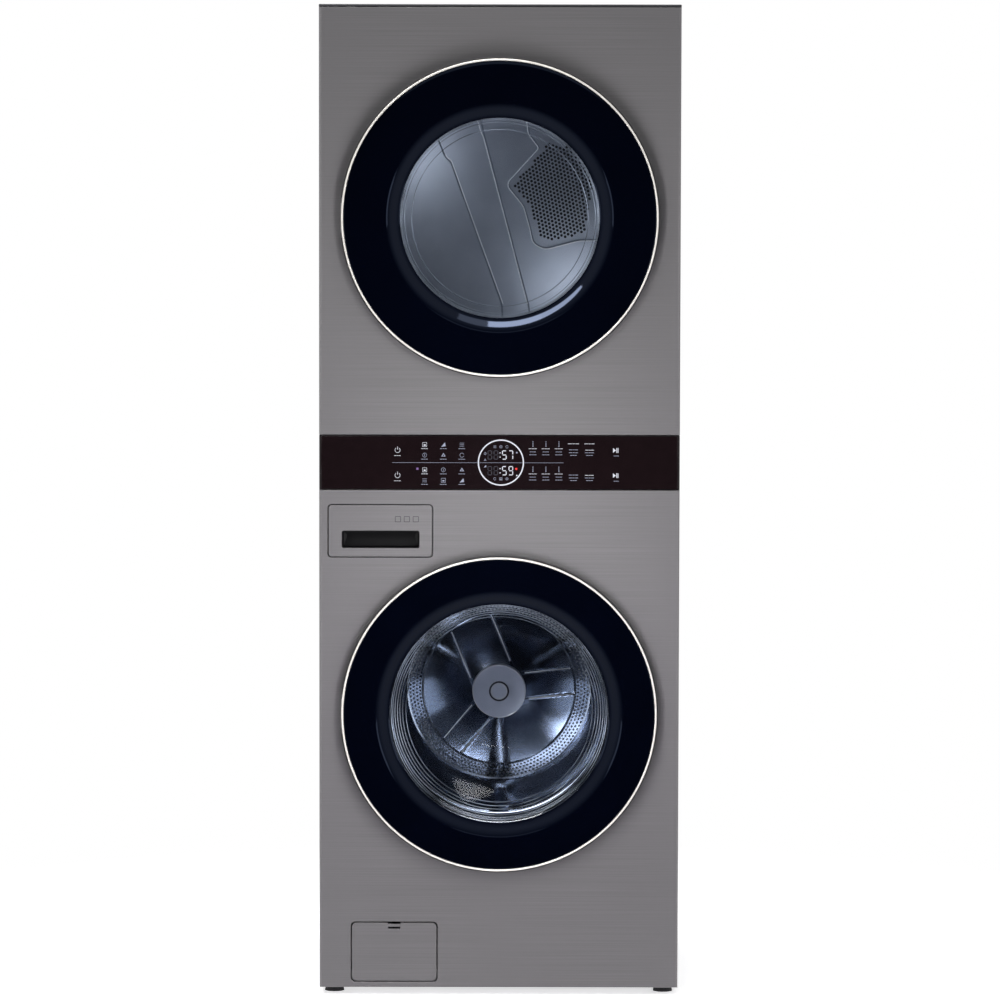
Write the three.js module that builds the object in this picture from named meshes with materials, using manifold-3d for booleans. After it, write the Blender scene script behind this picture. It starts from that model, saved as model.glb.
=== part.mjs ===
// Washer dryer stack: a front-loading washer with a front-loading dryer above it in one cabinet.
// Millimetres, +Z up, front facing -Y, origin at the middle of the footprint.
import * as THREE from "three";
import { mergeVertices } from "three/addons/utils/BufferGeometryUtils.js";
import Module from "manifold-3d";

// ---------- Driving dimensions ----------

// Cabinet
const WIDTH = 686;
const HEIGHT = 1889;
const DEPTH = 772;
const DOOR_REACH = 42; // front face to the front of the doors
const REAR_REACH = 26; // rear panel to the end of the vent collar
const FOOT_HEIGHT = 14;
const SHEET = 1.2;
const FIT = 0.3; // gap left where two pieces meet
const SEAM = 0.8; // gap between the front panels
const RIM = 26; // folded sides of the front panels
const FLANGE = 12; // folded edges of the side panels
const EDGE_RADIUS = 6;
const TOP_LIP = 4;
const ROUND = 32; // sides of a large circle
const SMALL = 16; // sides of a small circle

// Heights of what the front shows
const WASHER_AXIS_Z = 544;
const DRYER_AXIS_Z = 1486;
const BAND_Z = 970.5;
const BAND_HEIGHT = 102.5;
const DECK_Z = 1030;

// Doors
const DOOR_RADIUS = 302;
const DOOR_GAP = 5; // front face to the back of the door
const TRIM_WIDTH = 6;
const TRIM_DEPTH = 11.7;
const GLASS = 4;
const WASHER_WINDOW = 212;
const DRYER_WINDOW = 192;
const THROAT_MARGIN = 20; // window to the opening in the front panel
const HINGE_INSET = 10; // door edge to the hinge axis
const HINGE_FORWARD = 20; // front face to the hinge axis
const PIN_RADIUS = 4;
const KNUCKLE_HALF = 28;
const EAR = 6.5;

// Washer
const TUB_WALL = 3;
const TUB_CLEARANCE = 22; // drum to the inside of the tub
const TUB_FRONT = 82; // behind the front face, like the four below
const TUB_SEAM = 284;
const TUB_BACK = 494;
const DRUM_FRONT = 104;
const DRUM_BACK = 464;
const WASHER_DRUM_RADIUS = 275;
const DRUM_LIP_RADIUS = 205;
const HUB_RADIUS = 52;
const HUB_RISE = 90;
const SHAFT_RADIUS = 15;
const ROTOR_RADIUS = 132;
const SPRING_X = 190;
const SPRING_RADIUS = 13;
const SPRING_WIRE = 2;
const DAMPER_X = 200;
const DAMPER_ROD = 7;

// Detergent drawer
const DRAWER_X = -325;
const DRAWER_WIDTH = 197;
const DRAWER_Z = 842;
const DRAWER_HEIGHT = 98;
const DRAWER_LENGTH = 254;
const DRAWER_GAP = 1.5;
const GRIP_INSET = 25;
const GRIP_WIDTH = 148;
const GRIP_RISE = 16;
const GRIP_HEIGHT = 33.5;
const GRIP_DEPTH = 27;

// Pump service door
const SERVICE_X = -281;
const SERVICE_WIDTH = 162;
const SERVICE_Z = 27;
const SERVICE_HEIGHT = 112;
const SERVICE_GAP = 2;
const NOTCH_WIDTH = 24;
const FILTER_Z = 88;
const FILTER_RADIUS = 28;

// Dryer
const DRYER_DRUM_RADIUS = 320.5;
const DRUM_SHEET = 1.5;
const THROAT_RADIUS = 216;
const BULKHEAD_FRONT = 82; // behind the front face, like the four below
const DRYER_DRUM_FRONT = 94;
const DRYER_DRUM_BACK = 640;
const BULKHEAD_BACK = 646;
const BELT_Y = 404;
const SEAL_CLEARANCE = 17; // inside of the drum to the flanges of the bulkheads
const ROLLER_RADIUS = 35;
const ROLLER_ANGLE = 35;
const MOTOR_X = -262;
const MOTOR_RISE = 80; // motor axis above the deck
const MOTOR_RADIUS = 52;
const MOTOR_SHAFT = 6;
const PULLEY_RADIUS = 12;
const IDLER_RADIUS = 18;
const IDLER_ALONG = 0.35; // place of the idler on the belt's lower run
const BELT_WIDTH = 12;
const BELT_THICKNESS = 1.6;
const BELT_CLEARANCE = 1.4;
const BLOWER_RADIUS = 75;
const BLOWER_DEPTH = 58;
const DUCT_X = 200;
const DUCT_RADIUS = 51;
const FILTER_WIDTH = 236;
const FILTER_SLOT = 60; // front face to the middle of the lint filter

// Places that follow from them
const FACE_Y = -DEPTH / 2 + DOOR_REACH;
const BACK_Y = DEPTH / 2 - REAR_REACH;
const HALF = WIDTH / 2;
const INSIDE = HALF - SHEET - FIT;
const TOP_Z = HEIGHT - TOP_LIP - FIT;
const FRAME_Z = FOOT_HEIGHT + SHEET + FIT;
const FLOOR_Z = FRAME_Z + SHEET;
const DECK_TOP = DECK_Z + SHEET;
const WASHER_THROAT = WASHER_WINDOW + THROAT_MARGIN;
const TUB_RADIUS = WASHER_DRUM_RADIUS + TUB_CLEARANCE + TUB_WALL;
const SEAL_RADIUS = DRYER_DRUM_RADIUS - DRUM_SHEET - SEAL_CLEARANCE;
const HINGE_X = -DOOR_RADIUS + HINGE_INSET;
const HINGE_Y = FACE_Y - HINGE_FORWARD;
const INNER_REAR = BACK_Y - SHEET - FIT;

const wasm = await Module();
wasm.setup();

// ---------- Geometry helpers ----------

function solidOf(geometry) {
  const bare = geometry.index ? geometry.toNonIndexed() : geometry.clone();
  bare.deleteAttribute("normal");
  bare.deleteAttribute("uv");
  const merged = mergeVertices(bare, 1e-3);
  const mesh = new wasm.Mesh({
    numProp: 3,
    vertProperties: merged.attributes.position.array,
    triVerts: new Uint32Array(merged.index.array),
  });
  return new wasm.Manifold(mesh);
}

function geometryOf(solid) {
  const mesh = solid.getMesh();
  const geometry = new THREE.BufferGeometry();
  geometry.setAttribute("position", new THREE.BufferAttribute(mesh.vertProperties, 3));
  geometry.setIndex(new THREE.BufferAttribute(mesh.triVerts, 1));
  geometry.computeVertexNormals();
  return geometry;
}

function join(...geometries) {
  return geometryOf(geometries.map(solidOf).reduce((all, next) => all.add(next)));
}

function cut(geometry, ...tools) {
  return geometryOf(tools.map(solidOf).reduce((left, tool) => left.subtract(tool), solidOf(geometry)));
}

// A box between two corners.
function block(x0, x1, y0, y1, z0, z1) {
  const geometry = new THREE.BoxGeometry(x1 - x0, y1 - y0, z1 - z0);
  return geometry.translate((x0 + x1) / 2, (y0 + y1) / 2, (z0 + z1) / 2);
}

// A profile of [radius, y] points turned round the Y axis.
function turned(profile, sides = ROUND) {
  const points = profile.map(([r, y]) => new THREE.Vector2(r, y));
  const onAxis = profile[0][0] === 0;
  if (THREE.ShapeUtils.area(points) < 0) points.reverse();
  if (!onAxis) points.push(points[0].clone());
  return new THREE.LatheGeometry(points, sides);
}

// A round bar along Y from y0 to y1.
function barY(radius, y0, y1, x = 0, z = 0, sides = SMALL) {
  const geometry = new THREE.CylinderGeometry(radius, radius, y1 - y0, sides);
  return geometry.translate(x, (y0 + y1) / 2, z);
}

// A round bar along Z from z0 to z1.
function barZ(radius, z0, z1, x = 0, y = 0, sides = SMALL) {
  const geometry = new THREE.CylinderGeometry(radius, radius, z1 - z0, sides);
  return geometry.rotateX(Math.PI / 2).translate(x, y, (z0 + z1) / 2);
}

// A shape drawn in X and Z, made solid from y0 to y1.
function plate(shape, y0, y1, curveSegments) {
  const options = { depth: y1 - y0, bevelEnabled: false, curveSegments };
  return new THREE.ExtrudeGeometry(shape, options).rotateX(Math.PI / 2).translate(0, y1, 0);
}

const steel = new THREE.MeshStandardMaterial({ color: 0x777779, roughness: 0.4, metalness: 0.9 });
const zinc = new THREE.MeshStandardMaterial({ color: 0xa9acae, roughness: 0.5, metalness: 0.8 });
const stainless = new THREE.MeshStandardMaterial({ color: 0xc4c7cb, roughness: 0.2, metalness: 1 });
const trim = new THREE.MeshStandardMaterial({ color: 0xe6e0d8, roughness: 0.15, metalness: 1 });
const paint = new THREE.MeshStandardMaterial({ color: 0x5e5f61, roughness: 0.5, metalness: 0.3 });
const black = new THREE.MeshStandardMaterial({ color: 0x141416, roughness: 0.4 });
const darkGlass = new THREE.MeshStandardMaterial({ color: 0x0a0d14, roughness: 0.05 });
const clearGlass = new THREE.MeshStandardMaterial({ color: 0xbfc8d2, roughness: 0.05 });
const grey = new THREE.MeshStandardMaterial({ color: 0xb9bbbd, roughness: 0.6 });
const rubber = new THREE.MeshStandardMaterial({ color: 0x6e7073, roughness: 0.8 });

const stack = new THREE.Group();
const washer = new THREE.Group();
const dryer = new THREE.Group();
washer.position.z = WASHER_AXIS_Z;
dryer.position.z = DRYER_AXIS_Z;
stack.add(washer, dryer);

function add(name, geometry, material, group = stack) {
  const mesh = new THREE.Mesh(geometry, material);
  mesh.name = name;
  group.add(mesh);
}

// ---------- Cabinet ----------

// A front panel: a shell with rounded upright edges, folded back round all four sides.
function frontShell(z0, z1, wall) {
  function layer(inset, depth) {
    const half = HALF - inset;
    const radius = EDGE_RADIUS - inset;
    const outline = new THREE.Shape();
    outline.moveTo(half, inset + depth);
    outline.lineTo(-half, inset + depth);
    outline.absarc(-half + radius, inset + radius, radius, Math.PI, 1.5 * Math.PI);
    outline.absarc(half - radius, inset + radius, radius, -Math.PI / 2, 0);
    const options = { depth: z1 - z0 - 2 * inset, bevelEnabled: false, curveSegments: 2 };
    return new THREE.ExtrudeGeometry(outline, options).translate(0, FACE_Y, z0 + inset);
  }
  return cut(layer(0, RIM), layer(wall, RIM));
}

const drawerCut = block(
  DRAWER_X - DRAWER_GAP, DRAWER_X + DRAWER_WIDTH + DRAWER_GAP,
  FACE_Y - 1, FACE_Y + 2 * SHEET,
  DRAWER_Z - DRAWER_GAP, DRAWER_Z + DRAWER_HEIGHT + DRAWER_GAP,
);
const serviceCut = block(
  SERVICE_X - SERVICE_GAP, SERVICE_X + SERVICE_WIDTH + SERVICE_GAP,
  FACE_Y - 1, FACE_Y + 2 * SHEET,
  SERVICE_Z - SERVICE_GAP, SERVICE_Z + SERVICE_HEIGHT + SERVICE_GAP,
);

// The door hook enters the lock through a slot to the right of the washer's opening.
const LOCK_X = WASHER_THROAT + 20;
const LOCK_WIDTH = 25;
const LOCK_HALF = 12;
const lockSlot = block(LOCK_X, LOCK_X + LOCK_WIDTH, FACE_Y - 1, FACE_Y + RIM, -LOCK_HALF, LOCK_HALF);

add("washer_front_panel", cut(
  frontShell(FOOT_HEIGHT, BAND_Z - SEAM, SHEET),
  barY(WASHER_THROAT, FACE_Y - 1, FACE_Y + RIM, 0, WASHER_AXIS_Z, ROUND),
  lockSlot.clone().translate(0, 0, WASHER_AXIS_Z),
  drawerCut,
  serviceCut,
), steel);
add("dryer_front_panel", cut(
  frontShell(BAND_Z + BAND_HEIGHT + SEAM, TOP_Z, SHEET),
  barY(THROAT_RADIUS + 2 * FIT, FACE_Y - 1, FACE_Y + RIM, 0, DRYER_AXIS_Z, ROUND),
), steel);

const FASCIA_WALL = 3;
add("control_panel", frontShell(BAND_Z, BAND_Z + BAND_HEIGHT, FASCIA_WALL), darkGlass);

const HOUSING_INSET = 14;
const HOUSING_DEPTH = 40;
const HOUSING_WALL = 2;
const housingY = FACE_Y + FASCIA_WALL + FIT;
add("control_housing", cut(
  block(
    -HALF + RIM, HALF - RIM, housingY, housingY + HOUSING_DEPTH,
    BAND_Z + HOUSING_INSET, BAND_Z + BAND_HEIGHT - HOUSING_INSET,
  ),
  block(
    -HALF + RIM + HOUSING_WALL, HALF - RIM - HOUSING_WALL,
    housingY + HOUSING_WALL, housingY + HOUSING_DEPTH + 1,
    BAND_Z + HOUSING_INSET + HOUSING_WALL, BAND_Z + BAND_HEIGHT - HOUSING_INSET - HOUSING_WALL,
  ),
), black);

// A side panel: one tall sheet folded inwards round its edges.
function sidePanel(side) {
  const y0 = FACE_Y + RIM + FIT;
  const tray = cut(
    block(HALF - FLANGE, HALF, y0, INNER_REAR, FOOT_HEIGHT, TOP_Z),
    block(
      HALF - FLANGE - 1, HALF - SHEET, y0 + SHEET, INNER_REAR - SHEET,
      FOOT_HEIGHT + SHEET, TOP_Z - SHEET,
    ),
  );
  return side > 0 ? tray : tray.rotateZ(Math.PI).translate(0, y0 + INNER_REAR, 0);
}
add("side_panel_left", sidePanel(-1), steel);
add("side_panel_right", sidePanel(1), steel);

add("top_cover", cut(
  block(-HALF, HALF, FACE_Y, BACK_Y, HEIGHT - TOP_LIP, HEIGHT),
  block(
    -HALF + SHEET, HALF - SHEET, FACE_Y + SHEET, BACK_Y - SHEET,
    HEIGHT - TOP_LIP - 1, HEIGHT - SHEET,
  ),
), paint);

const BASE_HEIGHT = 30;
const baseFront = FACE_Y + RIM + 2;
const baseRear = INNER_REAR - SHEET - FIT;
add("base_frame", cut(
  block(-INSIDE, INSIDE, baseFront, baseRear, FRAME_Z, FRAME_Z + BASE_HEIGHT),
  block(
    -INSIDE + SHEET, INSIDE - SHEET, baseFront + SHEET, baseRear - SHEET,
    FLOOR_Z, FRAME_Z + BASE_HEIGHT + 1,
  ),
), zinc);

const FOOT_RADIUS = 19;
const FOOT_X = HALF - 27;
const footProfile = [[0, 0], [FOOT_RADIUS, 0], [FOOT_RADIUS - 2, 7], [6, 8.5], [6, FRAME_Z - FIT], [0, FRAME_Z - FIT]];
const footPlaces = {
  front_left: [-FOOT_X, baseFront + 28],
  front_right: [FOOT_X, baseFront + 28],
  rear_left: [-FOOT_X, baseRear - 36],
  rear_right: [FOOT_X, baseRear - 36],
};
for (const [place, [x, y]] of Object.entries(footPlaces)) {
  add("foot_" + place, turned(footProfile, SMALL).rotateX(Math.PI / 2).translate(x, y, 0), rubber);
}

// The deck between the machines, with its edges folded down at the front and back.
const DECK_FOLD = 12;
const deckFront = FACE_Y + 56;
add("dryer_deck", cut(
  block(-INSIDE, INSIDE, deckFront, baseRear, DECK_TOP - DECK_FOLD, DECK_TOP),
  block(-INSIDE - 1, INSIDE + 1, deckFront + SHEET, baseRear - SHEET, DECK_TOP - DECK_FOLD - 1, DECK_Z),
), zinc);

const DUCT_Z = DECK_TOP + DUCT_RADIUS + 4;
const DUCT_HOLE = DUCT_RADIUS + 2;
const VALVE_Z = 955;
const VALVE_X = [-265, -215];
const NOZZLE_RADIUS = 13;
const ductHole = barY(DUCT_HOLE, FACE_Y, DEPTH, DUCT_X, DUCT_Z, SMALL);
add("rear_panel", cut(
  block(-HALF, HALF, BACK_Y - SHEET, BACK_Y, FOOT_HEIGHT, TOP_Z),
  ductHole,
  ...VALVE_X.map((x) => barY(NOZZLE_RADIUS + 2, FACE_Y, DEPTH, x, VALVE_Z)),
), zinc);

const VALVE_DEPTH = 38;
add("inlet_valve", join(
  block(
    VALVE_X[0] - 22, VALVE_X[1] + 22, INNER_REAR - VALVE_DEPTH, INNER_REAR,
    VALVE_Z - 22, VALVE_Z + 22,
  ),
  ...VALVE_X.map((x) => barY(NOZZLE_RADIUS, INNER_REAR - 1, DEPTH / 2, x, VALVE_Z)),
), grey);

const terminalX = HALF - 120;
const terminalZ = DECK_TOP + 150;
add("terminal_cover", cut(
  block(terminalX, terminalX + 86, BACK_Y + FIT, BACK_Y + 18, terminalZ, terminalZ + 110),
  block(terminalX + 1.5, terminalX + 84.5, BACK_Y, BACK_Y + 16.5, terminalZ + 1.5, terminalZ + 108.5),
), zinc);

// ---------- Doors ----------

// The two doors share their frame, trim and hinge; the window and bowl differ.
function addDoor(prefix, group, windowRadius, bowlDepth, bowlTip, hook) {
  const backY = FACE_Y - DOOR_GAP;
  const frontY = -DEPTH / 2;
  const trimY = frontY + TRIM_DEPTH;
  const floorY = backY - 4;
  const windowY = frontY + 24;
  const glassOut = DOOR_RADIUS - TRIM_WIDTH - FIT - 0.2;
  const frame = turned([
    [windowRadius + 1, backY],
    [DOOR_RADIUS, backY],
    [DOOR_RADIUS, trimY + FIT],
    [DOOR_RADIUS - 5, trimY + FIT],
    [DOOR_RADIUS - 5, floorY],
    [windowRadius + 5, floorY],
    [windowRadius + 5, windowY + 2 * FIT],
    [windowRadius + 1, windowY + 2 * FIT],
  ]);
  const pocket = barZ(HINGE_FORWARD + 2, -KNUCKLE_HALF - 10, KNUCKLE_HALF + 10, HINGE_X, HINGE_Y);
  const knuckle = join(
    barZ(PIN_RADIUS + 5, -KNUCKLE_HALF, KNUCKLE_HALF, HINGE_X, HINGE_Y),
    block(HINGE_X, HINGE_X + 34, HINGE_Y - 3, HINGE_Y + 3, -KNUCKLE_HALF, KNUCKLE_HALF),
    block(HINGE_X + 26, HINGE_X + 34, HINGE_Y - 3, backY, -KNUCKLE_HALF, KNUCKLE_HALF),
  );
  const pinHole = barZ(PIN_RADIUS + 0.5, -KNUCKLE_HALF - 1, KNUCKLE_HALF + 1, HINGE_X, HINGE_Y);
  add(prefix + "_door_frame", cut(join(cut(frame, pocket), knuckle, ...hook), pinHole), black, group);

  add(prefix + "_door_trim", turned([
    [DOOR_RADIUS - TRIM_WIDTH, trimY],
    [DOOR_RADIUS, trimY],
    [DOOR_RADIUS, frontY + 3],
    [DOOR_RADIUS - 2, frontY],
    [DOOR_RADIUS - TRIM_WIDTH, frontY + 2],
  ]), trim, group);

  add(prefix + "_door_glass", turned([
    [0, windowY - GLASS],
    [windowRadius - 6, windowY - GLASS],
    [windowRadius + 20, frontY + 2],
    [glassOut, frontY + 2],
    [glassOut, frontY + 2 + GLASS],
    [windowRadius + 21, frontY + 2 + GLASS],
    [windowRadius - 6, windowY],
    [0, windowY],
  ]), darkGlass, group);

  const rimY = backY + FIT;
  const tipY = rimY + bowlDepth;
  const rim = windowRadius + 3;
  const corner = bowlDepth / 3;
  add(prefix + "_door_bowl", turned([
    [0, tipY],
    [bowlTip - corner, tipY],
    [bowlTip, tipY - corner],
    [rim, rimY],
    [rim - GLASS, rimY],
    [bowlTip - GLASS, tipY - corner - GLASS / 2],
    [bowlTip - corner - GLASS / 2, tipY - GLASS],
    [0, tipY - GLASS],
  ]), clearGlass, group);

  const leafY = FACE_Y - FIT;
  const leafHalf = KNUCKLE_HALF + 17;
  const earZ = KNUCKLE_HALF + 1.5;
  const ears = [-earZ - EAR, earZ].flatMap((z) => [
    block(HINGE_X - 6, HINGE_X + 6, HINGE_Y, leafY - 1, z, z + EAR),
    barZ(6, z, z + EAR, HINGE_X, HINGE_Y),
  ]);
  add(prefix + "_hinge_bracket", join(
    block(HINGE_X - 8, HINGE_X + 52, leafY - 2, leafY, -leafHalf, leafHalf),
    barZ(PIN_RADIUS, -earZ - EAR, earZ + EAR, HINGE_X, HINGE_Y),
    ...ears,
  ), zinc, group);
}

const HOOK_X = LOCK_X + 5;
const HOOK_REACH = 22;
const hook = [
  block(HOOK_X, HOOK_X + 8, FACE_Y - DOOR_GAP - 2, FACE_Y + HOOK_REACH, -9, 9),
  block(HOOK_X + 7, HOOK_X + 14, FACE_Y + HOOK_REACH - 6, FACE_Y + HOOK_REACH, -9, 9),
];
addDoor("washer", washer, WASHER_WINDOW, 86, WASHER_WINDOW - 34, hook);
addDoor("dryer", dryer, DRYER_WINDOW, 48, DRYER_WINDOW - 20, []);

const lockY = FACE_Y + SHEET + FIT;
add("washer_door_lock", cut(
  block(LOCK_X - 7, LOCK_X + LOCK_WIDTH + 14, lockY, lockY + HOOK_REACH + 8, -45, 45),
  block(LOCK_X, LOCK_X + LOCK_WIDTH, lockY - 1, lockY + HOOK_REACH + 4, -LOCK_HALF, LOCK_HALF),
), black, washer);

// ---------- Washer ----------

const tubY = FACE_Y + TUB_FRONT;
const seamY = FACE_Y + TUB_SEAM;
const tubRearY = FACE_Y + TUB_BACK;
const tubIn = TUB_RADIUS - TUB_WALL;
const tubFlange = TUB_RADIUS + 8;
const neckIn = DRUM_LIP_RADIUS + 13;
const neckOut = neckIn + TUB_WALL;
const NECK = 12;
add("tub_front", turned([
  [neckIn, tubY - NECK],
  [neckOut, tubY - NECK],
  [neckOut, tubY],
  [TUB_RADIUS, tubY],
  [TUB_RADIUS, seamY - 6],
  [tubFlange, seamY - 6],
  [tubFlange, seamY],
  [tubIn, seamY],
  [tubIn, tubY + TUB_WALL],
  [neckIn, tubY + TUB_WALL],
]), grey, washer);

// The rear half carries the bearing hub, the spring lugs at the top and the damper lugs below.
const bearingIn = SHAFT_RADIUS + 2;
const bearingOut = SHAFT_RADIUS + 14;
const statorY = tubRearY + 36;
const LUG = 10;
const LUG_HEIGHT = 24;
const springLugZ = Math.sqrt(TUB_RADIUS ** 2 - (SPRING_X + LUG) ** 2) + LUG_HEIGHT;
const damperLugZ = -Math.sqrt(TUB_RADIUS ** 2 - (DAMPER_X + LUG) ** 2) - LUG_HEIGHT;
const lugY = seamY + 90;
const lugs = [-1, 1].flatMap((side) => [
  block(
    side * SPRING_X - LUG, side * SPRING_X + LUG, lugY - LUG, lugY + LUG,
    springLugZ - LUG_HEIGHT - 4, springLugZ,
  ),
  block(
    side * DAMPER_X - LUG, side * DAMPER_X + LUG, lugY - LUG, lugY + LUG,
    damperLugZ, damperLugZ + LUG_HEIGHT + 4,
  ),
]);
add("tub_rear", join(turned([
  [tubIn, seamY + FIT],
  [tubFlange, seamY + FIT],
  [tubFlange, seamY + 6],
  [TUB_RADIUS, seamY + 6],
  [TUB_RADIUS, tubRearY],
  [bearingOut, tubRearY],
  [bearingOut, statorY - FIT],
  [bearingIn, statorY - FIT],
  [bearingIn, tubRearY - 10],
  [bearingOut + 20, tubRearY - 4],
  [tubIn, tubRearY - 4],
]), ...lugs), grey, washer);

const STATOR_DEPTH = 28;
const rotorIn = ROTOR_RADIUS - 6;
add("motor_stator", turned([
  [bearingOut + 4, statorY],
  [rotorIn - 4, statorY],
  [rotorIn - 4, statorY + STATOR_DEPTH],
  [bearingOut + 4, statorY + STATOR_DEPTH],
]), zinc, washer);

const rotorY = statorY + STATOR_DEPTH + 8;
add("motor_rotor", turned([
  [SHAFT_RADIUS + 0.6, statorY + 20],
  [bearingOut, statorY + 20],
  [bearingOut, rotorY],
  [rotorIn, rotorY],
  [rotorIn, statorY - 4],
  [ROTOR_RADIUS, statorY - 4],
  [ROTOR_RADIUS, rotorY + 4],
  [SHAFT_RADIUS + 0.6, rotorY + 4],
]), zinc, washer);

// A drum's three lifters: hollow wedges that stand on the drum wall and point at the axis.
const LIFTER_WALL = 2;
function lifters(base, tip, baseHalf, tipHalf, y0, y1) {
  const corner = -Math.sqrt(base ** 2 - baseHalf ** 2);
  const outline = new THREE.Shape([
    new THREE.Vector2(-baseHalf, corner),
    new THREE.Vector2(0, -base),
    new THREE.Vector2(baseHalf, corner),
    new THREE.Vector2(tipHalf, -tip),
    new THREE.Vector2(-tipHalf, -tip),
  ]);
  outline.holes.push(new THREE.Path([
    new THREE.Vector2(-baseHalf + 2 * LIFTER_WALL, corner + LIFTER_WALL),
    new THREE.Vector2(-tipHalf + LIFTER_WALL, -tip - LIFTER_WALL),
    new THREE.Vector2(tipHalf - LIFTER_WALL, -tip - LIFTER_WALL),
    new THREE.Vector2(baseHalf - 2 * LIFTER_WALL, corner + LIFTER_WALL),
  ]));
  return [0, 1, 2].map((i) => plate(outline, y0, y1).rotateY((i * 2 * Math.PI) / 3));
}

const drumY = FACE_Y + DRUM_FRONT;
const drumRearY = FACE_Y + DRUM_BACK;
const drumIn = WASHER_DRUM_RADIUS - DRUM_SHEET;
const hubY = drumRearY - HUB_RISE;
add("washer_drum", join(turned([
  [0, hubY],
  [HUB_RADIUS, hubY],
  [HUB_RADIUS + 8, hubY + 25],
  [drumIn - 75, drumRearY - 10],
  [drumIn, drumRearY - 20],
  [drumIn, drumY + DRUM_SHEET],
  [DRUM_LIP_RADIUS, drumY + DRUM_SHEET],
  [DRUM_LIP_RADIUS, drumY],
  [WASHER_DRUM_RADIUS, drumY],
  [WASHER_DRUM_RADIUS, drumRearY - 18],
  [drumIn - 75, drumRearY - 8],
  [HUB_RADIUS + 8, hubY + 27],
  [HUB_RADIUS, hubY + 2],
  [0, hubY + 2],
]), ...lifters(drumIn + 0.5, drumIn - 50, 34, 12, drumY + 24, drumRearY - 40)), stainless, washer);

const spiderY = drumRearY + 2;
const SPIDER_DEPTH = 14;
const spiderArms = [0, 1, 2].map((i) =>
  block(-14, 14, spiderY, spiderY + SPIDER_DEPTH, -WASHER_DRUM_RADIUS + 20, 0)
    .rotateY((i * 2 * Math.PI) / 3));
add("drum_spider", join(
  barY(34, spiderY, spiderY + SPIDER_DEPTH),
  barY(SHAFT_RADIUS, spiderY, rotorY + 12),
  ...spiderArms,
), zinc, washer);

// The bellows runs from the opening in the front panel to the neck of the tub.
add("door_gasket", turned([
  [WASHER_THROAT - 8, FACE_Y + SHEET + 2 * FIT],
  [WASHER_THROAT + 5, FACE_Y + SHEET + 2 * FIT],
  [WASHER_THROAT + 12, FACE_Y + 44],
  [neckOut + 7, tubY - NECK - 3],
  [neckOut + 6, tubY - FIT],
  [neckOut + 0.6, tubY - FIT],
  [neckOut + 0.6, tubY - NECK - 4],
  [WASHER_THROAT + 6, FACE_Y + 44],
  [WASHER_THROAT, FACE_Y + 6],
  [WASHER_THROAT - 8, FACE_Y + 6],
]), rubber, washer);

class Helix extends THREE.Curve {
  constructor(radius, z0, z1, turns) {
    super();
    Object.assign(this, { radius, z0, z1, turns });
  }
  getPoint(t, target = new THREE.Vector3()) {
    const angle = 2 * Math.PI * this.turns * t;
    const z = this.z0 + (this.z1 - this.z0) * t;
    return target.set(this.radius * Math.cos(angle), this.radius * Math.sin(angle), z);
  }
}

const SPRING_TURNS = 7;
const DAMPER_TOP = 218;
const DAMPER_FLOOR = 60;
for (const [place, side] of [["left", -1], ["right", 1]]) {
  const wire = new THREE.Shape();
  wire.absarc(0, 0, SPRING_WIRE, 0, 2 * Math.PI);
  const springZ = WASHER_AXIS_Z + springLugZ + SPRING_WIRE + 1;
  const path = new Helix(SPRING_RADIUS, springZ, DECK_Z - SPRING_WIRE - 1, SPRING_TURNS);
  const options = { extrudePath: path, steps: 7 * SPRING_TURNS, curveSegments: 2 };
  add(
    "suspension_spring_" + place,
    new THREE.ExtrudeGeometry(wire, options).translate(side * SPRING_X, lugY, 0),
    zinc,
  );
  const x = side * DAMPER_X;
  add("damper_" + place, cut(
    barZ(DAMPER_ROD + 6, FLOOR_Z + FIT, DAMPER_TOP, x, lugY),
    barZ(DAMPER_ROD + 2, DAMPER_FLOOR, DAMPER_TOP + 1, x, lugY),
  ), black);
  const rodTop = WASHER_AXIS_Z + damperLugZ - FIT;
  add("damper_rod_" + place, barZ(DAMPER_ROD, DAMPER_FLOOR + 40, rodTop, x, lugY), zinc);
}

// Detergent drawer: a front with a recessed grip, and a tray of three compartments behind it.
const DRAWER_FRONT_DEPTH = 30;
const DRAWER_WALL = 2.5;
const gripX = DRAWER_X + GRIP_INSET;
const gripZ = DRAWER_Z + GRIP_RISE;
const drawerEnd = DRAWER_X + DRAWER_WIDTH;
const drawerTop = DRAWER_Z + DRAWER_HEIGHT;
const gripCut = block(gripX, gripX + GRIP_WIDTH, FACE_Y - 1, FACE_Y + GRIP_DEPTH, gripZ, gripZ + GRIP_HEIGHT);
const gripCup = block(
  gripX - DRAWER_WALL, gripX + GRIP_WIDTH + DRAWER_WALL, FACE_Y, FACE_Y + DRAWER_FRONT_DEPTH,
  gripZ - DRAWER_WALL, gripZ + GRIP_HEIGHT + DRAWER_WALL,
);
const drawerShell = cut(
  block(DRAWER_X, drawerEnd, FACE_Y, FACE_Y + DRAWER_FRONT_DEPTH, DRAWER_Z, drawerTop),
  block(
    DRAWER_X + DRAWER_WALL, drawerEnd - DRAWER_WALL,
    FACE_Y + DRAWER_WALL, FACE_Y + DRAWER_FRONT_DEPTH + 1,
    DRAWER_Z + DRAWER_WALL, drawerTop - DRAWER_WALL,
  ),
);
add("drawer_front", cut(join(drawerShell, gripCup), gripCut), steel);

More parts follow.
